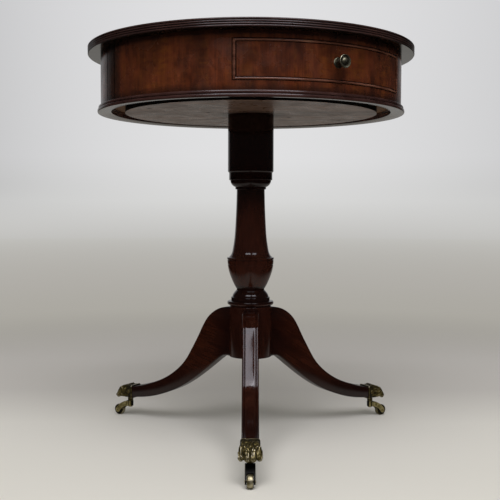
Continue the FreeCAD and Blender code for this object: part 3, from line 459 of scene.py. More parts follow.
def raw_wood(name, colours, grain, ring_mm=9.0, rough=0.78, plugs_and_shade=None, wax=0.0):
    """Bare secondary timber that was planed and never polished: matt, dry, grey-brown with age.

    Growth lines run along the board and wander round knots, with dust and dark stains between them. With wax, a
    soft worn sheen lies on it, but not on marks that are left bare, such as plugs and painted shade.
    """
    material, tree, place = new_material(name)
    along = add(tree, "Mapping", {"Vector": place, "Rotation": grain})
    drift = pattern(tree, along, 60, 2, 0.5, stretch=(0.12, 1, 1))
    rings = pattern(tree, along, ring_mm, 5, 0.6, 0.7, (0.05, 1, 1))
    fibres = pattern(tree, along, 0.9, 3, 0.6, stretch=(0.03, 1, 1))
    tone = add(tree, "Math MULTIPLY_ADD", rings, 0.6, add(tree, "Math MULTIPLY", drift, 0.3))
    tone = add(tree, "Math MULTIPLY_ADD", fibres, 0.22, tone)
    base = add(tree, "ValToRGB", tone, stops=tuple(zip((0.38, 0.55, 0.72), colours)))
    base = stain_and_shade(tree, base, colours[0], pattern(tree, place, 90, 4, 0.6), (0.5, 0.72), (0.0, 0.35))
    base = stain_and_shade(tree, base, colours[2], pattern(tree, place, 16, 5, 0.7, 0.5), (0.5, 0.66), (0.0, 0.3))
    bare = 0.0
    if plugs_and_shade:
        base, bare = plugs_and_shade(tree, place, base)
    bump = add(tree, "Bump", {"Strength": 0.35, "Distance": 0.4 * MM, "Height": fibres})
    inputs = {"Base Color": base, "Roughness": rough, "Specular IOR Level": 0.3, "Normal": bump}
    if wax:
        inputs["Coat Weight"] = add(tree, "Math MULTIPLY_ADD", bare, -wax, wax)
        worn = pattern(tree, place, 30, 5, 0.65, 0.4)
        inputs["Coat Roughness"] = add(tree, "MapRange", worn, 0.35, 0.65, 0.24, 0.4)
    add(tree, "OutputMaterial", add(tree, "BsdfPrincipled", inputs), out=None)
    return material


# Plugged holes in the disc: azimuth, distance from the axis and radius
DISC_SPOTS = ((-89.2, 188.7, 6.0), (-91.0, 81.8, 6.5), (92.0, 79.1, 6.0), (88.8, 182.0, 5.5))


def disc_plugs_and_shade(tree, place, base):
    """Four plugged screw holes across the disc, dark with age, a painted dark reflection of the column round
    it, and painted shade on the disc's edge.
    """
    bare = 0.0
    for azimuth, distance, radius in DISC_SPOTS:
        spot = round_table(azimuth, distance * MM, DISC_UNDER * MM)
        gap = add(tree, "VectorMath DISTANCE", place, spot, out="Value")
        dark = add(tree, "MapRange", gap, *mm(0.35 * radius, radius), 0.85, 0.0)
        base = stain_and_shade(tree, base, "#1d1510", dark, (0.0, 1.0))
        bare = add(tree, "Math MAXIMUM", bare, dark)
    # Painted reflection: the disc is painted darker round the column, as the dark column mirrored in it.
    base = stain_and_shade(tree, base, "#1c110c", from_axis(tree, place), mm(36, 70), (0.6, 0.0), smooth=True)
    # Painted shade on the disc's upright edge.
    edge = add(tree, "Math LESS_THAN", add(tree, "Math ABSOLUTE", facing_up(tree)), 0.5)
    return stain_and_shade(tree, base, "#0b0705", edge, (0.0, 1.0)), add(tree, "Math MAXIMUM", bare, edge)


def paw_tarnish_and_highlight(tree, place, clean):
    """Less rubbed metal by the wood, where dirt gathers, and a painted highlight: the upper side of the
    socket's bead is painted brighter.
    """
    away = from_axis(tree, place)
    rubbed = add(tree, "Math SUBTRACT", clean, add(tree, "MapRange", away, *mm(254, 276), 0.2, 0.0))
    # Painted highlight: the bead round the socket's mouth is painted brighter on its upper side.
    bead = add(tree, "MapRange", away, *mm(250.2, 251), 0.5, 0.0)
    return add(tree, "Math MULTIPLY_ADD", bead, add(tree, "MapRange", facing_up(tree), 0.05, 0.4), rubbed)


def fork_shade(tree, place, clean):
    """Fork painted nearly black on the faces along its leg's line, a painted shade and painted dark reflection,
    and a little lighter on its cheeks.
    """
    return add(tree, "Math ADD", clean, add(tree, "MapRange", facing_aside(tree, place), 0.45, 0.8, -0.5, 0.12))


def wheel_tarnish(tree, place, clean):
    """Wheel with a tread that the floor keeps bright and dull dark sides."""
    return add(tree, "Math ADD", clean, add(tree, "MapRange", facing_aside(tree, place), 0.3, 0.7, 0.06, -0.2))


def aged_brass(name, bright, dark, rough=0.34, wear_mm=6.0, wear_and_painted_light=None, middle=("#4b4126", "#6f6038")):
    """Cast brass, lacquer long gone: olive-gold metal with brown tarnish in the hollows.

    High places are rubbed brighter and smoother than the hollows, which hold dull dark patina.
    """
    material, tree, place = new_material(name)
    cloud = pattern(tree, place, wear_mm, 4, 0.62)
    fine = pattern(tree, place, 0.8, 3, 0.6)
    raised = add(tree, "MapRange", add(tree, "NewGeometry", out="Pointiness"), 0.46, 0.56)
    clean = add(tree, "Math MULTIPLY_ADD", cloud, 0.7, add(tree, "Math MULTIPLY", raised, 0.5))
    clean = add(tree, "Math MULTIPLY_ADD", fine, 0.15, clean)
    # The function given here adds wear, and for forks and paws painted light too: painted shade on a fork, a
    # painted highlight on a paw's bead.
    if wear_and_painted_light:
        clean = wear_and_painted_light(tree, place, clean)
    base = add(tree, "ValToRGB", clean, stops=tuple(zip((0.36, 0.56, 0.7, 0.86), (dark, *middle, bright))))
    dull = add(tree, "MapRange", clean, 0.35, 0.9, rough + 0.22, rough - 0.08)
    metal = add(tree, "MapRange", clean, 0.3, 0.55, 0.55, 1.0)
    bump = add(tree, "Bump", {"Strength": 0.25, "Distance": 0.2 * MM, "Height": fine})
    surface = add(tree, "BsdfPrincipled", {"Base Color": base, "Roughness": dull, "Metallic": metal,
                                           "Normal": bump})
    add(tree, "OutputMaterial", surface, out=None)
    return material


def worn_metal(name, light, dark, rough, patch_mm):
    """Plain steel or iron with a thin brown bloom of rust in patches."""
    material, tree, place = new_material(name)
    patch = pattern(tree, place, patch_mm, 5, 0.65)
    base = add(tree, "ValToRGB", patch, stops=((0.4, dark), (0.62, light)))
    dull = add(tree, "MapRange", patch, 0.4, 0.65, rough + 0.25, rough)
    bump = add(tree, "Bump", {"Strength": 0.3, "Distance": 0.3 * MM, "Height": patch})
    surface = add(tree, "BsdfPrincipled", {"Base Color": base, "Roughness": dull, "Metallic": 0.9,
                                           "Normal": bump})
    add(tree, "OutputMaterial", surface, out=None)
    return material


def wool_baize(name):
    """Green wool baize: a flat felted cloth, matt, with a short tangled nap."""
    material, tree, place = new_material(name)
    nap = pattern(tree, place, 0.5, 5, 0.7)
    worn = pattern(tree, place, 25, 3, 0.5)
    tone = add(tree, "Math MULTIPLY_ADD", nap, 0.5, add(tree, "Math MULTIPLY", worn, 0.5))
    base = add(tree, "ValToRGB", tone, stops=((0.35, "#16301f"), (0.65, "#2f5a3a")))
    bump = add(tree, "Bump", {"Strength": 0.5, "Distance": 0.4 * MM, "Height": nap})
    surface = add(tree, "BsdfPrincipled", {"Base Color": base, "Roughness": 0.95, "Sheen Weight": 0.3,
                                           "Normal": bump})
    add(tree, "OutputMaterial", surface, out=None)
    return material


# Height of the middle of the rings between the column's vase and its hub
RINGS_MIDDLE = 245.5


def column_darkening_and_shade(tree, place, base):
    """Column painted darker over the rings between the vase and the hub and a little darker over the hub, and
    nearly black up under the drum, a painted shade where the drum's shadow falls.
    """
    z = add(tree, "SeparateXYZ", place, out="Z")
    off = add(tree, "Math ABSOLUTE", add(tree, "Math SUBTRACT", z, RINGS_MIDDLE * MM))
    # A darker band over the rings between the vase and the hub.
    wax = add(tree, "MapRange", off, *mm(13.5, 16.5), 0.72, 0.0)
    # Painted shade: nearly black up under the drum, where its shadow falls.
    high = add(tree, "MapRange", z, *mm(372, 430), 0.0, 0.86, interpolation_type="SMOOTHSTEP")
    # A little darker over the hub.
    hub = add(tree, "MapRange", z, *mm(220, 236), 0.3, 0.0)
    for more in (high, hub):
        wax = add(tree, "Math MAXIMUM", wax, more)
    return stain_and_shade(tree, base, "#0d0605", wax, (0.0, 1.0))


def leg_darkening(tree, place, base):
    """Legs darker towards their brass feet, and painted shade by the hub, under the drum."""
    height = add(tree, "SeparateXYZ", place, out="Z")
    # Darker towards the feet.
    base = stain_and_shade(tree, base, "#160c0a", height, mm(55, 120), (0.75, 0.0), smooth=True)
    # Painted shade by the hub, under the drum.
    return stain_and_shade(tree, base, "#120807", from_axis(tree, place), mm(36, 85), (0.7, 0.0), smooth=True)


QUARTER = math.pi / 2
LEG_GRAIN = math.radians(-32)
TURNED_WOOD = ("#1d0d08", "#2d150e", "#3a1c13", "#4a281a")
LEG_WOOD = ("#180a06", "#28110a", "#36190f", "#472415")
EDGE_WOOD = ("#170b09", "#321e1a", "#452e29", "#5b4038")
# The beads' colours are lighter than the veneer: partly their own wood and partly a painted highlight.
BEAD_WOOD_AND_HIGHLIGHT = ("#2c1710", "#523226", "#6d4738", "#88624e")
VENEER = ("#2a1108", "#47200f", "#5f2d17", "#763c1d")


def make_materials():
    """Every finish by name."""
    made = {
        "turned": mahogany("french_polished_mahogany_turned", TURNED_WOOD, (0, QUARTER, 0), polish=0.08,
                           shade=column_darkening_and_shade, contrast=0.5),
        "ring": mahogany("french_polished_mahogany_ring", EDGE_WOOD, (0, 0, 0), polish=0.15,
                         follow=round_the_drum, shaded_dull_under=True, contrast=0.7),
        "edge": mahogany("french_polished_mahogany_reeds", EDGE_WOOD, (0, 0, 0), polish=0.22,
                         follow=round_the_drum, shade=reed_quirk_shade, shaded_dull_under=True, contrast=0.7),
        "wall": mahogany("french_polished_mahogany_veneer", VENEER, (0, QUARTER, 0), (30, 16, 16), 0.17,
                         round_the_drum, shade=drawer_lines, contrast=0.8, gap_and_shadow_lines=drum_gaps_and_bead_shadows),
        "bead": mahogany("french_polished_mahogany_bead", BEAD_WOOD_AND_HIGHLIGHT, (0, 0, 0), follow=round_the_drum),
        "top": mahogany("french_polished_mahogany_top", VENEER, (0, 0, 0), (160, 30, 30), 0.12),
        "disc": raw_wood("waxed_pine_disc", ("#36241b", "#5c4131", "#7d5d49"), (0, 0, math.radians(25)),
                         plugs_and_shade=disc_plugs_and_shade, wax=0.5),
        "board": raw_wood("bare_pine_board", ("#46301f", "#6b4c33", "#856646"), (0, 0, 0)),
        "lining": raw_wood("bare_oak_lining", ("#7a5a38", "#a27c52", "#b9966b"), (0, 0, QUARTER), 5.0, 0.6),
        "brass": aged_brass("aged_cast_brass", "#9c8f66", "#14100a"),
        "knob": aged_brass("aged_turned_brass", "#c6c5ae", "#1d1a15", 0.4, middle=("#4d4a3b", "#827f68")),
        "paw": aged_brass("aged_cast_brass_paw", "#d6ccae", "#14110b", 0.38, wear_and_painted_light=paw_tarnish_and_highlight,
                          middle=("#5b5130", "#857849")),
        "fork": aged_brass("aged_forged_brass", "#cabd88", "#0a0905", 0.38, wear_and_painted_light=fork_shade,
                           middle=("#4a4429", "#857a4d")),
        "wheel": aged_brass("worn_wheel_brass", "#d9cfae", "#14110a", 0.42, wear_and_painted_light=wheel_tarnish,
                            middle=("#4a4429", "#857b58")),
        "steel": worn_metal("plain_steel", "#8d8a86", "#5c5148", 0.35, 5),
        "iron": worn_metal("forged_iron", "#4a4542", "#2a221d", 0.5, 8),
        "baize": wool_baize("green_wool_baize"),
    }
    for leg, azimuth in LEG_AZIMUTHS.items():
        name = "french_polished_mahogany_leg_" + leg
        made["leg_" + leg] = mahogany(name, LEG_WOOD, (0, LEG_GRAIN, -math.radians(azimuth - 90)),
                                      polish=0.06, shade=leg_darkening, contrast=0.7)
    return made


# Carried-over nodes by finish
FINISHES = {
    "edge": ["top_edge"],
    "wall": ["frieze", "drawer_front"],
    "bead": ["bead_top", "bead_bottom", "bead_left", "bead_right"],
    "top": ["top_panel"],
    "disc": ["bearing_disc"],
    "board": ["floor_board", "glue_blocks", "drawer_stops"],
    "lining": ["drawer_side_left", "drawer_side_right", "drawer_back", "drawer_bottom", "runner_left",
               "runner_right", "guide_left", "guide_right", "kicker_left", "kicker_right"],
    "knob": ["knob"],
    "brass": [part + leg for leg in LEG_AZIMUTHS for part in ("castor_pin_", "castor_axle_")],
    "steel": ["knob_screw", "top_screws", "disc_screws", "spindle", "spindle_washer", "spindle_nut"],
    "iron": ["leg_strap"],
    "baize": ["felt_ring"],
}


def dress_nodes(materials):
    """Gives every carried-over node its finish."""
    for finish, nodes in FINISHES.items():
        for node in nodes:
            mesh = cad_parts[node].data
            mesh.materials.clear()
            mesh.materials.append(materials[finish])


# Making meshes

def mesh_from(name, points, faces):
    """Closed mesh in metres from points in millimetres, with its faces outwards."""
    mesh = bpy.data.meshes.new(name)
    mesh.from_pydata([tuple(c * MM for c in p) for p in points], [], faces)
    tidy_mesh(mesh)
    return mesh


def tidy_mesh(mesh, sharp_degrees=38.0):
    """Merges doubles, turns the faces outwards and smooths all but the sharp edges."""
    with reshaped(mesh) as form:
        bmesh.ops.remove_doubles(form, verts=form.verts, dist=1e-6)
        bmesh.ops.recalc_face_normals(form, faces=form.faces)
    smooth_mesh(mesh, sharp_degrees)


def smooth_mesh(mesh, sharp_degrees=38.0):
    """Smooths all but the sharp edges."""
    mesh.shade_smooth()
    mesh.set_sharp_from_angle(angle=math.radians(sharp_degrees))


def plain_mesh(holder):
    """Mesh that an object's modifiers make. The object goes."""
    scene.collection.objects.link(holder)
    result = bpy.data.meshes.new_from_object(holder.evaluated_get(bpy.context.evaluated_depsgraph_get()))
    bpy.data.objects.remove(holder)
    return result


def baked(mesh, *steps):
    """Mesh with modifiers applied. Each step is a modifier kind with its settings."""
    holder = bpy.data.objects.new("holder", mesh)
    for index, (kind, settings) in enumerate(steps):
        modifier = holder.modifiers.new(f"step_{index}", kind)
        for name, value in settings.items():
            setattr(modifier, name, value)
    return plain_mesh(holder)


def grown_from(name, source, tree, **inputs):
    """Plain mesh that a geometry tree makes from a mesh, with its inputs set by name."""
    holder = bpy.data.objects.new("holder", source)
    modifier = holder.modifiers.new("tree", "NODES")
    modifier.node_group = tree
    for item in tree.interface.items_tree:
        if item.item_type == "SOCKET" and item.in_out == "INPUT" and item.name in inputs:
            modifier[item.identifier] = inputs[item.name]
    result = plain_mesh(holder)
    result.name = name
    return result


def new_piece(name, mesh, body, slot, material, *nodes):
    """Piece at the origin that stands for nodes and rides on a body."""
    piece = bpy.data.objects.new(name, mesh)
    scene.collection.objects.link(piece)
    mesh.materials.clear()
    mesh.materials.append(material)
    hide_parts(*nodes)
    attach(piece, body)


def copy_of(node):
    """Copy of a node's mesh with its loose triangles joined."""
    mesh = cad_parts[node].data.copy()
    with reshaped(mesh) as form:
        bmesh.ops.remove_doubles(form, verts=form.verts, dist=2e-6)
    return mesh


def spline(points, count):
    """Points spaced evenly along a smooth curve through the given points."""
    known = np.array(points, float)
    steps = np.linalg.norm(np.diff(known, axis=0), axis=1)
    at = np.concatenate([[0], np.cumsum(steps)])
    size = len(at)
    system, right = np.eye(size), np.zeros((size, 2))
    for i in range(1, size - 1):
        system[i, i - 1:i + 2] = steps[i - 1], 2 * (steps[i - 1] + steps[i]), steps[i]
        right[i] = 6 * ((known[i + 1] - known[i]) / steps[i] - (known[i] - known[i - 1]) / steps[i - 1])
    bend = np.linalg.solve(system, right)
    places = np.linspace(0, at[-1], 40 * size)
    k = np.clip(np.searchsorted(at, places) - 1, 0, size - 2)
    u, h = (places - at[k])[:, None], steps[k][:, None]
    line = (known[k] + u * ((known[k + 1] - known[k]) / h - h * (2 * bend[k] + bend[k + 1]) / 6)
            + u ** 2 * bend[k] / 2 + u ** 3 * (bend[k + 1] - bend[k]) / (6 * h))
    far = np.concatenate([[0], np.cumsum(np.linalg.norm(np.diff(line, axis=0), axis=1))])
    even = np.linspace(0, far[-1], count)
    return np.stack([np.interp(even, far, line[:, axis]) for axis in (0, 1)], axis=1)


def eased(points, radius, bend_degrees=20.0, steps=3):
    """Outline with its sharp corners rounded."""
    result = [points[0]]
    for before, corner, after in zip(points, points[1:], points[2:]):
        a, b, c = (Vector((*p, 0)) for p in (before, corner, after))
        if min((b - a).length, (c - b).length) < 1e-6:
            continue
        if (b - a).angle(c - b) < math.radians(bend_degrees):
            result.append(corner)
            continue
        reach = min(radius, 0.45 * (b - a).length, 0.45 * (c - b).length)
        start, end = b + (a - b).normalized() * reach, b + (c - b).normalized() * reach
        for index in range(steps + 1):
            t = index / steps
            point = start * (1 - t) ** 2 + b * 2 * t * (1 - t) + end * t ** 2
            result.append((point.x, point.y))
    result.append(points[-1])
    return result


# Geometry trees

def new_tree(name, inputs):
    """Geometry tree and the outputs of its inputs, which are given as names with kinds of socket."""
    tree = bpy.data.node_groups.new(name, "GeometryNodeTree")
    for label, kind in inputs.items():
        tree.interface.new_socket(label, in_out="INPUT", socket_type="NodeSocket" + kind)
    tree.interface.new_socket("Form", in_out="OUTPUT", socket_type="NodeSocketGeometry")
    return tree, add(tree, "NodeGroupInput", out=None).outputs


def end_tree(tree, form, finish):
    """Ends a tree with real geometry in its finish."""
    real = add(tree, "GeometryNodeRealizeInstances", form)
    finished = add(tree, "GeometryNodeSetMaterial", {"Geometry": real, "Material": finish})
    add(tree, "NodeGroupOutput", finished, out=None)


def turning_tree():
    """Tree that turns an upright profile, distance out in X and height in Z, round the Z axis."""
    tree, given = new_tree("turned_form", {"Profile": "Geometry", "Segments": "Int", "Finish": "Material"})
    rows = add(tree, "GeometryNodeAttributeDomainSize", {"Geometry": given["Profile"]}, out="Point Count")
    columns = add(tree, "Math ADD", given["Segments"], 1.0)
    sheet = add(tree, "GeometryNodeMeshGrid", {"Size X": 1.0, "Size Y": 1.0, "Vertices X": columns,
                                               "Vertices Y": rows})
    index = add(tree, "GeometryNodeInputIndex")
    row = add(tree, "Math MODULO", index, rows)
    column = add(tree, "Math FLOOR", add(tree, "Math DIVIDE", index, rows))
    turn = add(tree, "Math DIVIDE", add(tree, "Math MULTIPLY", column, 2 * math.pi), given["Segments"])
    point = add(tree, "GeometryNodeInputPosition")
    on_profile = add(tree, "GeometryNodeSampleIndex", {"Geometry": given["Profile"], "Value": point,
                                                       "Index": row}, data_type="FLOAT_VECTOR")
    reach, _, height = add(tree, "SeparateXYZ", on_profile, out=None).outputs
    x = add(tree, "Math MULTIPLY", reach, add(tree, "Math COSINE", turn))
    y = add(tree, "Math MULTIPLY", reach, add(tree, "Math SINE", turn))
    place = add(tree, "CombineXYZ", x, y, height)
    placed = add(tree, "GeometryNodeSetPosition", {"Geometry": sheet, "Position": place})
    form = add(tree, "GeometryNodeMergeByDistance", {"Geometry": placed, "Distance": 2e-6})
    end_tree(tree, form, given["Finish"])
    return tree


def turned_mesh(name, profile, segments, finish, tree):
    """Mesh turned from a profile in millimetres. A profile that starts and ends off the axis is closed."""
    line = bpy.data.meshes.new("profile")
    points = list(profile)
    if points[0][0] > 0:
        points.append(points[0])
    line.from_pydata([(r * MM, 0, z * MM) for r, z in points], [(i, i + 1) for i in range(len(points) - 1)], [])
    mesh = grown_from(name, line, tree, Segments=segments, Finish=finish)
    tidy_mesh(mesh, 32.0)
    return mesh


def screw_tree():
    """Tree that sets a domed, slotted screw at each seat, its slot turned at random."""
    lengths = ("Head Radius", "Head Height", "Shank Radius", "Shank Length", "Slot Width")
    tree, given = new_tree("slotted_screws", {"Seats": "Geometry", **dict.fromkeys(lengths, "Float"),
                                              "Seed": "Int", "Finish": "Material"})
    radius, height, shank_radius, shank_length, slot_width = (given[label] for label in lengths)
    ball = add(tree, "GeometryNodeMeshUVSphere", {"Segments": 28, "Rings": 14, "Radius": radius})
    flat = add(tree, "CombineXYZ", 1.0, 1.0, add(tree, "Math DIVIDE", height, radius))
    dome = add(tree, "GeometryNodeTransform", {"Geometry": ball, "Scale": flat})
    wide = add(tree, "Math MULTIPLY", radius, 3.0)
    base = add(tree, "GeometryNodeMeshCube", {"Size": add(tree, "CombineXYZ", wide, wide, wide)})
    drop = add(tree, "CombineXYZ", 0.0, 0.0, add(tree, "Math MULTIPLY", wide, -0.5))
    base = add(tree, "GeometryNodeTransform", {"Geometry": base, "Translation": drop})
    slot = add(tree, "GeometryNodeMeshCube", {"Size": add(tree, "CombineXYZ", slot_width, wide, height)})
    lift = add(tree, "CombineXYZ", 0.0, 0.0, add(tree, "Math MULTIPLY", height, 1.02))
    slot = add(tree, "GeometryNodeTransform", {"Geometry": slot, "Translation": lift})
    head = add(tree, "GeometryNodeMeshBoolean DIFFERENCE", {"Mesh 1": dome, "Mesh 2": [base, slot]})
    shank = add(tree, "GeometryNodeMeshCylinder", {"Vertices": 16, "Radius": shank_radius,
                                                   "Depth": shank_length})
    sink = add(tree, "CombineXYZ", 0.0, 0.0, add(tree, "Math MULTIPLY", shank_length, -0.5))
    shank = add(tree, "GeometryNodeTransform", {"Geometry": shank, "Translation": sink})
    whole = add(tree, "GeometryNodeJoinGeometry", {0: [head, shank]})
    facing = add(tree, "GeometryNodeInputNamedAttribute", {"Name": "facing"}, data_type="FLOAT_VECTOR")
    aim = add(tree, "FunctionNodeAlignRotationToVector", {"Vector": facing}, axis="Z")
    spin = add(tree, "FunctionNodeRandomValue", {2: 0.0, 3: math.pi, "Seed": given["Seed"]}, out=1,
               data_type="FLOAT")
    about = add(tree, "FunctionNodeAxisAngleToRotation", {"Axis": (0, 0, 1), "Angle": spin})
    turn = add(tree, "FunctionNodeRotateRotation", aim, about, rotation_space="LOCAL")
    set_out = add(tree, "GeometryNodeInstanceOnPoints", {"Points": given["Seats"], "Instance": whole,
                                                         "Rotation": turn})
    end_tree(tree, set_out, given["Finish"])
    return tree


# Width of a screw's slot as a share of its head's radius
SLOT_SHARE = 0.28


def screws(name, seats, tree, finish, head, shank, seed):
    """Mesh of slotted screws from (seat, facing) pairs in millimetres."""
    marks = bpy.data.meshes.new("seats")
    marks.from_pydata([tuple(Vector(seat) * MM) for seat, facing in seats], [], [])
    facing = marks.attributes.new("facing", "FLOAT_VECTOR", "POINT")
    facing.data.foreach_set("vector", [c for seat, way in seats for c in way])
    inputs = {"Head Radius": head[0] * MM, "Head Height": head[1] * MM, "Shank Radius": shank[0] * MM,
              "Shank Length": shank[1] * MM, "Slot Width": head[0] * SLOT_SHARE * MM, "Seed": seed,
              "Finish": finish}
    mesh = grown_from(name, marks, tree, **inputs)
    tidy_mesh(mesh)
    return mesh


# Column

COLUMN_STEPS = 96

# Turned curves of the column as shares of their rise and of their growth in radius
VASE_SHARES = ((0.0, 0.04), (0.09, 0.20), (0.24, 0.42), (0.43, 0.66), (0.62, 0.85), (0.82, 0.96), (1.0, 1.0))
FLARE_SHARES = ((0.0, 0.86), (0.018, 0.72), (0.05, 0.56), (0.14, 0.385), (0.27, 0.245), (0.47, 0.135),
                (0.74, 0.045), (1.0, 0.0))

# Their feet and rises, their least radius, and how much they grow from it
NECK_RADIUS = 24.0
VASE_FOOT, VASE_RISE, VASE_GROWTH = 256.2, 48.6, 16.0
SHAFT_FOOT, SHAFT_RISE, SHAFT_GROWTH = 309.2, 117.0, 16.3

# Heights of the turner's two fine lines on the vase, half their width and their depth
FINE_LINES = (296.6, 299.0)
LINE_HALF, LINE_DEPTH = 0.5, 0.35


def grown(shares, foot, rise, radius, growth):
    """Points of a turned curve from shares of its rise and of its growth in radius."""
    return [(radius + growth * out, foot + rise * up) for up, out in shares]


def column_profile():
    """Half section of the column from its foot up, with the turner's fine lines under the vase's lip."""
    vase = spline(grown(VASE_SHARES, VASE_FOOT, VASE_RISE, NECK_RADIUS, VASE_GROWTH), 40)
    flare = spline(grown(FLARE_SHARES, SHAFT_FOOT, SHAFT_RISE, NECK_RADIUS, SHAFT_GROWTH), 60)
    ogee = spline(((31.33, 241.1), (30.9, 243.6), (29.64, 246.5), (27.6, 249.3), (24.56, 252.8)), 14)
    vase_points = []
    for radius, height in vase:
        line = any(abs(height - level) < LINE_HALF for level in FINE_LINES)
        vase_points.append((radius - (LINE_DEPTH if line else 0.0), height))
    edge = [(0, COLUMN_LIFT), (HUB_RADIUS, COLUMN_LIFT), (HUB_RADIUS, 225.1), (34.8, 226.6), (34.6, 226.6),
            (34.6, 228.2), (38.5, 228.2), (39.5, 229.0), (40.1, 231.2), (39.5, 233.4), (38.5, 234.2),
            (33.4, 234.2), (33.4, 240.9), *map(tuple, ogee), (NECK_RADIUS, 252.8), (NECK_RADIUS, VASE_FOOT),
            *vase_points, (39.0, 304.8), (39.0, 305.8), (40.3, 305.8), (40.3, SHAFT_FOOT), *map(tuple, flare),
            (26.4, SHAFT_FOOT + SHAFT_RISE), (26.4, 430.0), (28.6, 431.0), (31.0, 432.8), (33.0, 435.0),
            (34.5, 438.2), (35.2, 442.0), (37.1, 442.0), (37.1, 454.4), (39.2, 456.8), (39.2, DISC_UNDER),
            (20.0, DISC_UNDER), (20.0, FELT_UNDER), (0, FELT_UNDER)]
    return eased(edge, 0.5)


# Legs

# Upper and lower edge of a leg's side as shares of its reach and rise, and the lower edge's start at the hub
LEG_UPPER = ((0.12, 1.0), (0.17, 0.995), (0.214, 0.981), (0.251, 0.957), (0.287, 0.921), (0.32, 0.874),
             (0.346, 0.82), (0.375, 0.742), (0.405, 0.655), (0.453, 0.528), (0.518, 0.374), (0.591, 0.263),
             (0.672, 0.176), (0.761, 0.109), (0.842, 0.064), (0.931, 0.023), (1.0, 0.0))
LEG_LOWER = ((0.158, 1.0), (0.19, 0.984), (0.223, 0.935), (0.26, 0.864), (0.304, 0.774), (0.393, 0.598),
             (0.502, 0.404), (0.611, 0.252), (0.723, 0.139), (0.791, 0.085), (0.88, 0.037), (1.0, 0.0))
LEG_START = ((29.9, COLUMN_LIFT + 0.6), (34.5, COLUMN_LIFT + 0.25))
LEG_ROOT_HALF, LEG_FOOT_HALF = 14.0, 13.1
LEG_STATIONS = 150

# Half of the leg's upper face from the middle out: distance from the middle, or in from the side, and depth
PANEL = ((0.0, 0.0), (4.0, 0.02), (7.6, 0.08), (8.3, 0.22), (8.7, 0.6), (8.9, 1.3), (9.1, 1.6), (9.4, 1.6),
         (9.6, 1.2), (9.85, 0.55), (10.3, 0.16), (11.0, 0.0))
BEAD_SIDE = ((2.1, 0.06), (1.3, 0.32), (0.65, 0.8), (0.2, 1.5), (0.0, 2.4))
UNDERSIDE = ((0.0, 1.8), (0.12, 1.0), (0.5, 0.35), (1.2, 0.05), (2.0, 0.0))


def leg_section(half):
    """Closed section: pairs of distance across and depth, for the upper face and then for the underside."""
    upper = list(PANEL) + [(half - inwards, depth) for inwards, depth in BEAD_SIDE]
    lower = [(half - inwards, depth) for inwards, depth in UNDERSIDE]
    top = [(-y, d) for y, d in reversed(upper)] + upper[1:]
    return top, lower + [(-y, d) for y, d in reversed(lower)]


def outward(line, side):
    """Unit vectors square to a line of points."""
    along = np.gradient(line, axis=0)
    along /= np.linalg.norm(along, axis=1)[:, None]
    return np.stack([-along[:, 1], along[:, 0]], axis=1) * side


def leg_mesh(name):
    """Sabre leg along +X: sides that taper, and a flat panel between two quirked beads."""
    rise = LEG_CREST - ANKLE_TOP
    upper = spline([(LEG_REACH * out, ANKLE_TOP + rise * up) for out, up in LEG_UPPER], LEG_STATIONS)
    drop = COLUMN_LIFT - ANKLE_HEIGHT
    under = [(LEG_REACH * out, ANKLE_HEIGHT + drop * up) for out, up in LEG_LOWER]
    lower = spline([*LEG_START, *under], LEG_STATIONS)
    up_way, down_way = outward(upper, 1), outward(lower, -1)
    points, ring = [], 0
    for top, top_way, low, low_way in zip(upper, up_way, lower, down_way):
        sections = []
        for base, way, which in ((top, top_way, 0), (low, low_way, 1)):
            half = LEG_ROOT_HALF + (LEG_FOOT_HALF - LEG_ROOT_HALF) * base[0] / LEG_REACH
            for across, depth in leg_section(half)[which]:
                sections.append((base[0] - way[0] * depth, across, base[1] - way[1] * depth))
        points += sections
        ring = len(sections)
    faces = [[i * ring + j, i * ring + (j + 1) % ring, (i + 1) * ring + (j + 1) % ring, (i + 1) * ring + j]
             for i in range(LEG_STATIONS - 1) for j in range(ring)]
    faces.append(list(range(ring)))
    faces.append(list(range((LEG_STATIONS - 1) * ring, LEG_STATIONS * ring)))
    return mesh_from(name, points, faces)


def box_mesh(name, corners):
    """Closed block from its four lower corners and its four upper corners."""
    faces = [(0, 1, 2, 3), (4, 5, 6, 7), (0, 1, 5, 4), (1, 2, 6, 5), (2, 3, 7, 6), (3, 0, 4, 7)]
    return mesh_from(name, corners, faces)


def slab(name, x_low, x_high, half_low, half_high, foot, top):
    """Block along +X that may be wider at one end."""
    plan = [(x_low, -half_low), (x_high, -half_high), (x_high, half_high), (x_low, half_low)]
    return box_mesh(name, [(x, y, foot) for x, y in plan] + [(x, y, top) for x, y in plan])


def cut(mesh, cutter):
    """Mesh with another mesh cut out of it."""
    tool = bpy.data.objects.new("cutter", cutter)
    scene.collection.objects.link(tool)
    result = baked(mesh, ("BOOLEAN", {"operation": "DIFFERENCE", "object": tool, "solver": "EXACT"}))
    bpy.data.objects.remove(tool)
    return result


def joined(name, *meshes):
    """One mesh from several."""
    form = bmesh.new()
    for mesh in meshes:
        form.from_mesh(mesh)
    whole = bpy.data.meshes.new(name)
    form.to_mesh(whole)
    form.free()
    return whole


# Rebate under each leg's root and the tongue in the hub: ends from the axis, half widths there, foot and top
REBATE = (20.0, 50.1, 7.1, 7.1, COLUMN_LIFT - 8.0, COLUMN_LIFT)
TONGUE = (23.3, 37.5, 9.0, 5.9, COLUMN_LIFT - 0.05, 208.0)


def make_legs(materials):
    """Three carved legs, each with the rebate for the iron plate and its tongue in the hub."""
    for leg, azimuth in LEG_AZIMUTHS.items():
        body = cut(leg_mesh("leg"), slab("rebate", *REBATE))
        tongue = slab("tongue", *TONGUE)
        mesh = joined("carved_leg_" + leg, body, tongue)
        mesh.transform(leg_turn(azimuth))
        smooth_mesh(mesh)
        new_piece("carved_leg_" + leg, mesh, "base", "polished_mahogany", materials["leg_" + leg], "leg_" + leg)


# Ring under the frieze

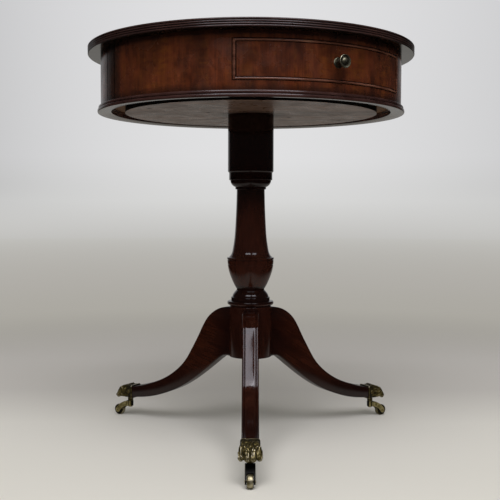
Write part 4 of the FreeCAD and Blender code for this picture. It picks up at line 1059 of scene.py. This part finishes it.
RING_STEPS = 240


def ring_bead(middle, height, reach, rise, first, last):
    """Points up a bead of the ring, between two angles from its foot."""
    return [(middle + reach * math.sin(t), height - rise * math.cos(t)) for t in np.linspace(first, last, 9)]


def ring_profile():
    """Half section of the ring: two beads with a quirk between them, and an underside that rises inwards."""
    lower = ring_bead(RING_OUTER - 1.1, 554.45, 1.1, 2.45, 0.15, 2.9)
    upper = ring_bead(255.9, 559.7, 1.2, 2.3, 0.3, 2.7)
    edge = [(RING_INNER, FRIEZE_FOOT), (RING_INNER, RING_FOOT + 1.9), (251.0, RING_FOOT + 0.05),
            (256.4, RING_FOOT), *lower, (256.4, 557.0), (255.5, 557.1), *upper, (255.3, FRIEZE_FOOT)]
    return eased(edge, 0.35, 30)


# Castors

def in_leg_frame(mesh, azimuth, back=False):
    """Turns a mesh in metres from a leg's azimuth to +X, or back."""
    turn = leg_turn(azimuth)
    mesh.transform(turn if back else turn.inverted())
    return mesh


WHEEL_STEPS = 56


def wheel_profile():
    """Half section of a castor wheel: crowned tread, sunk faces and a raised hub round the axle."""
    half = WHEEL_WIDTH / 2
    bore = AXLE_RADIUS + 0.08
    side = [(bore, -half), (3.6, -half), (4.1, -half + 0.7), (7.0, -half + 0.8), (7.6, -half + 0.15),
            (8.3, -half), (9.4, -half + 0.5), (9.85, -half + 1.9), (WHEEL_RADIUS, -half + 3.6)]
    return eased(side + [(r, -z) for r, z in reversed(side)], 0.3, 12)


# A paw's places out from the axis, where its chasing starts and over which height, the height of its
# middle, how far the toes grow to close their gaps, and half the width of the bead round its mouth
PAW_MOUTH, PAW_TIP = 249.0, 291.5
HAIR_START, HAIR_END = 254.5, 290.5
TOE_START = 262.0
CLAW = 284.2
CHASED_FROM, CHASED_OVER = 255.0, 37.2
PAW_MIDDLE = 49.0
TOE_GAP = 0.9
MOUTH_BEAD = 0.9


def hair_depth(s, y, z):
    """How deep the chased hair and claws are cut at a place on a paw, in millimetres."""
    round_paw = math.atan2(y, max(z - 48.0, -20.0) + 22.0)
    hair = min(share((s - HAIR_START) / 3.0), share((HAIR_END - s) / 4.0))
    wave = round_paw * 15.0 + 0.9 * math.sin(s * 0.42 + y * 0.35)
    lock = abs(math.sin(wave))
    strand = abs(math.sin(2.2 * wave + 0.5 * math.sin(s * 0.5)))
    depth = hair * (0.95 * (1 - lock) ** 0.8 + 0.35 * (1 - strand) ** 0.8)
    claw = math.exp(-((s - CLAW + abs(y) * 0.16) / 0.7) ** 2)
    return depth + 0.35 * claw * (1 if z < 50 else 0.4)


def paw_shift(s, y, z):
    """How far a place on the CAD paw moves across and up: toes fuller on top and a little splayed."""
    along = (s - PAW_MOUTH) / (PAW_TIP - PAW_MOUTH)
    full = math.sin(math.pi * share((along - 0.25) / 0.85)) ** 0.8
    rise = 3.6 * full * share((z - 40.0) / 12.0)
    splay = 0.09 * y * share((along - 0.3) / 0.5) * share((56.0 - z) / 10.0)
    return splay, rise


def chased_paw(leg, azimuth):
    """Cast paw with soft arrises, chased locks of hair, a groove behind each claw and a beaded mouth."""
    fine = ("REMESH", {"mode": "VOXEL", "voxel_size": 0.42 * MM, "use_smooth_shade": True})
    mesh = in_leg_frame(copy_of("paw_" + leg), azimuth)
    mesh = baked(mesh, fine, ("SMOOTH", {"factor": 0.5, "iterations": 3}))

    # Growing the toes and shrinking them again closes the gaps between them
    for grow in (TOE_GAP, -TOE_GAP):
        with reshaped(mesh) as form:
            form.normal_update()
            for vert in form.verts:
                vert.co += vert.normal * grow * MM * share((vert.co.x / MM - TOE_START) / 6.0)
        mesh = baked(mesh, fine, ("SMOOTH", {"factor": 0.5, "iterations": 1}))
    with reshaped(mesh) as form:
        form.normal_update()
        for vert in form.verts:
            s, y, z = vert.co / MM
            push = -hair_depth(s, y, z) if s > CHASED_FROM and z > CHASED_OVER else 0.0
            bead = abs(s - PAW_MOUTH - MOUTH_BEAD) / MOUTH_BEAD
            out = Vector((0, y, z - PAW_MIDDLE))
            if bead < 1 and out.dot(vert.normal) > 0.5 * out.length:
                push = 0.7 * (1 - bead ** 2) ** 0.5
            vert.co += (vert.normal * push + Vector((0, *paw_shift(s, y, z)))) * MM
    return in_leg_frame(mesh, azimuth, True)


def softened(node, azimuth, voxel_mm, rounds):
    """Copy of a node with its arrises worn soft."""
    mesh = in_leg_frame(copy_of(node), azimuth)
    mesh = baked(mesh, ("REMESH", {"mode": "VOXEL", "voxel_size": voxel_mm * MM, "use_smooth_shade": True}),
                 ("SMOOTH", {"factor": 0.5, "iterations": rounds}))
    return in_leg_frame(mesh, azimuth, True)


# Cap screws: seat in the leg's frame, radius and height of a head, radius and length of a shank, and seed
CAP_SEAT = (257.0, 13.5, 48.9)
CAP_HEAD, CAP_SHANK, CAP_SEED = (3.5, 1.7), (1.6, 6.9), 7


def make_castors(materials, turning, screwing):
    """Paws, forks, wheels and cap screws."""
    for leg, azimuth in LEG_AZIMUTHS.items():
        turn = leg_turn(azimuth)
        new_piece("chased_paw_" + leg, chased_paw(leg, azimuth), "base", "aged_brass", materials["paw"],
                  "paw_" + leg)
        new_piece("soft_fork_" + leg, softened("castor_fork_" + leg, azimuth, 0.3, 5), "castor_" + leg,
                  "aged_brass", materials["fork"], "castor_fork_" + leg)
        wheel = turned_mesh("turned_wheel_" + leg, wheel_profile(), WHEEL_STEPS, materials["wheel"], turning)
        wheel.transform(turn @ Matrix.Translation((WHEEL_S * MM, 0, WHEEL_RADIUS * MM))
                        @ Matrix.Rotation(math.radians(-90), 4, "X"))
        new_piece("turned_wheel_" + leg, wheel, "wheel_" + leg, "aged_brass", materials["wheel"],
                  "castor_wheel_" + leg)
        out, aside, height = CAP_SEAT
        seats = [(turn @ Vector((out, side * aside, height)), turn @ Vector((0, side, 0))) for side in (-1, 1)]
        heads = screws("slotted_cap_screws_" + leg, seats, screwing, materials["brass"], CAP_HEAD, CAP_SHANK,
                       CAP_SEED)
        new_piece("slotted_cap_screws_" + leg, heads, "base", "aged_brass", materials["brass"],
                  "cap_screws_" + leg)


# Strap screws: distances from the axis, thickness of the plate, and head, shank and seed as above
STRAP_REACHES = (17.0, 43.0)
STRAP_THICKNESS = 2.0
STRAP_HEAD, STRAP_SHANK, STRAP_SEED = (3.5, 1.8), (1.6, 13.9), 3


def make_strap_screws(materials, screwing):
    """Two slotted screws through each arm of the iron plate."""
    seats = [(round_table(azimuth, reach, COLUMN_LIFT - STRAP_THICKNESS), Vector((0, 0, -1)))
             for azimuth in LEG_AZIMUTHS.values() for reach in STRAP_REACHES]
    mesh = screws("slotted_strap_screws", seats, screwing, materials["steel"], STRAP_HEAD, STRAP_SHANK,
                  STRAP_SEED)
    new_piece("slotted_strap_screws", mesh, "base", "plain_steel", materials["steel"], "strap_screws")


make_camera()
make_floor()
make_room()
make_lamps()
materials = make_materials()
dress_nodes(materials)
turning = turning_tree()
screwing = screw_tree()
column = turned_mesh("turned_column", column_profile(), COLUMN_STEPS, materials["turned"], turning)
new_piece("turned_column", column, "base", "polished_mahogany", materials["turned"], "column")
make_legs(materials)
ring = turned_mesh("moulded_ring", ring_profile(), RING_STEPS, materials["ring"], turning)
new_piece("moulded_ring", ring, "drum", "polished_mahogany", materials["ring"], "base_moulding")
make_castors(materials, turning, screwing)
make_strap_screws(materials, screwing)
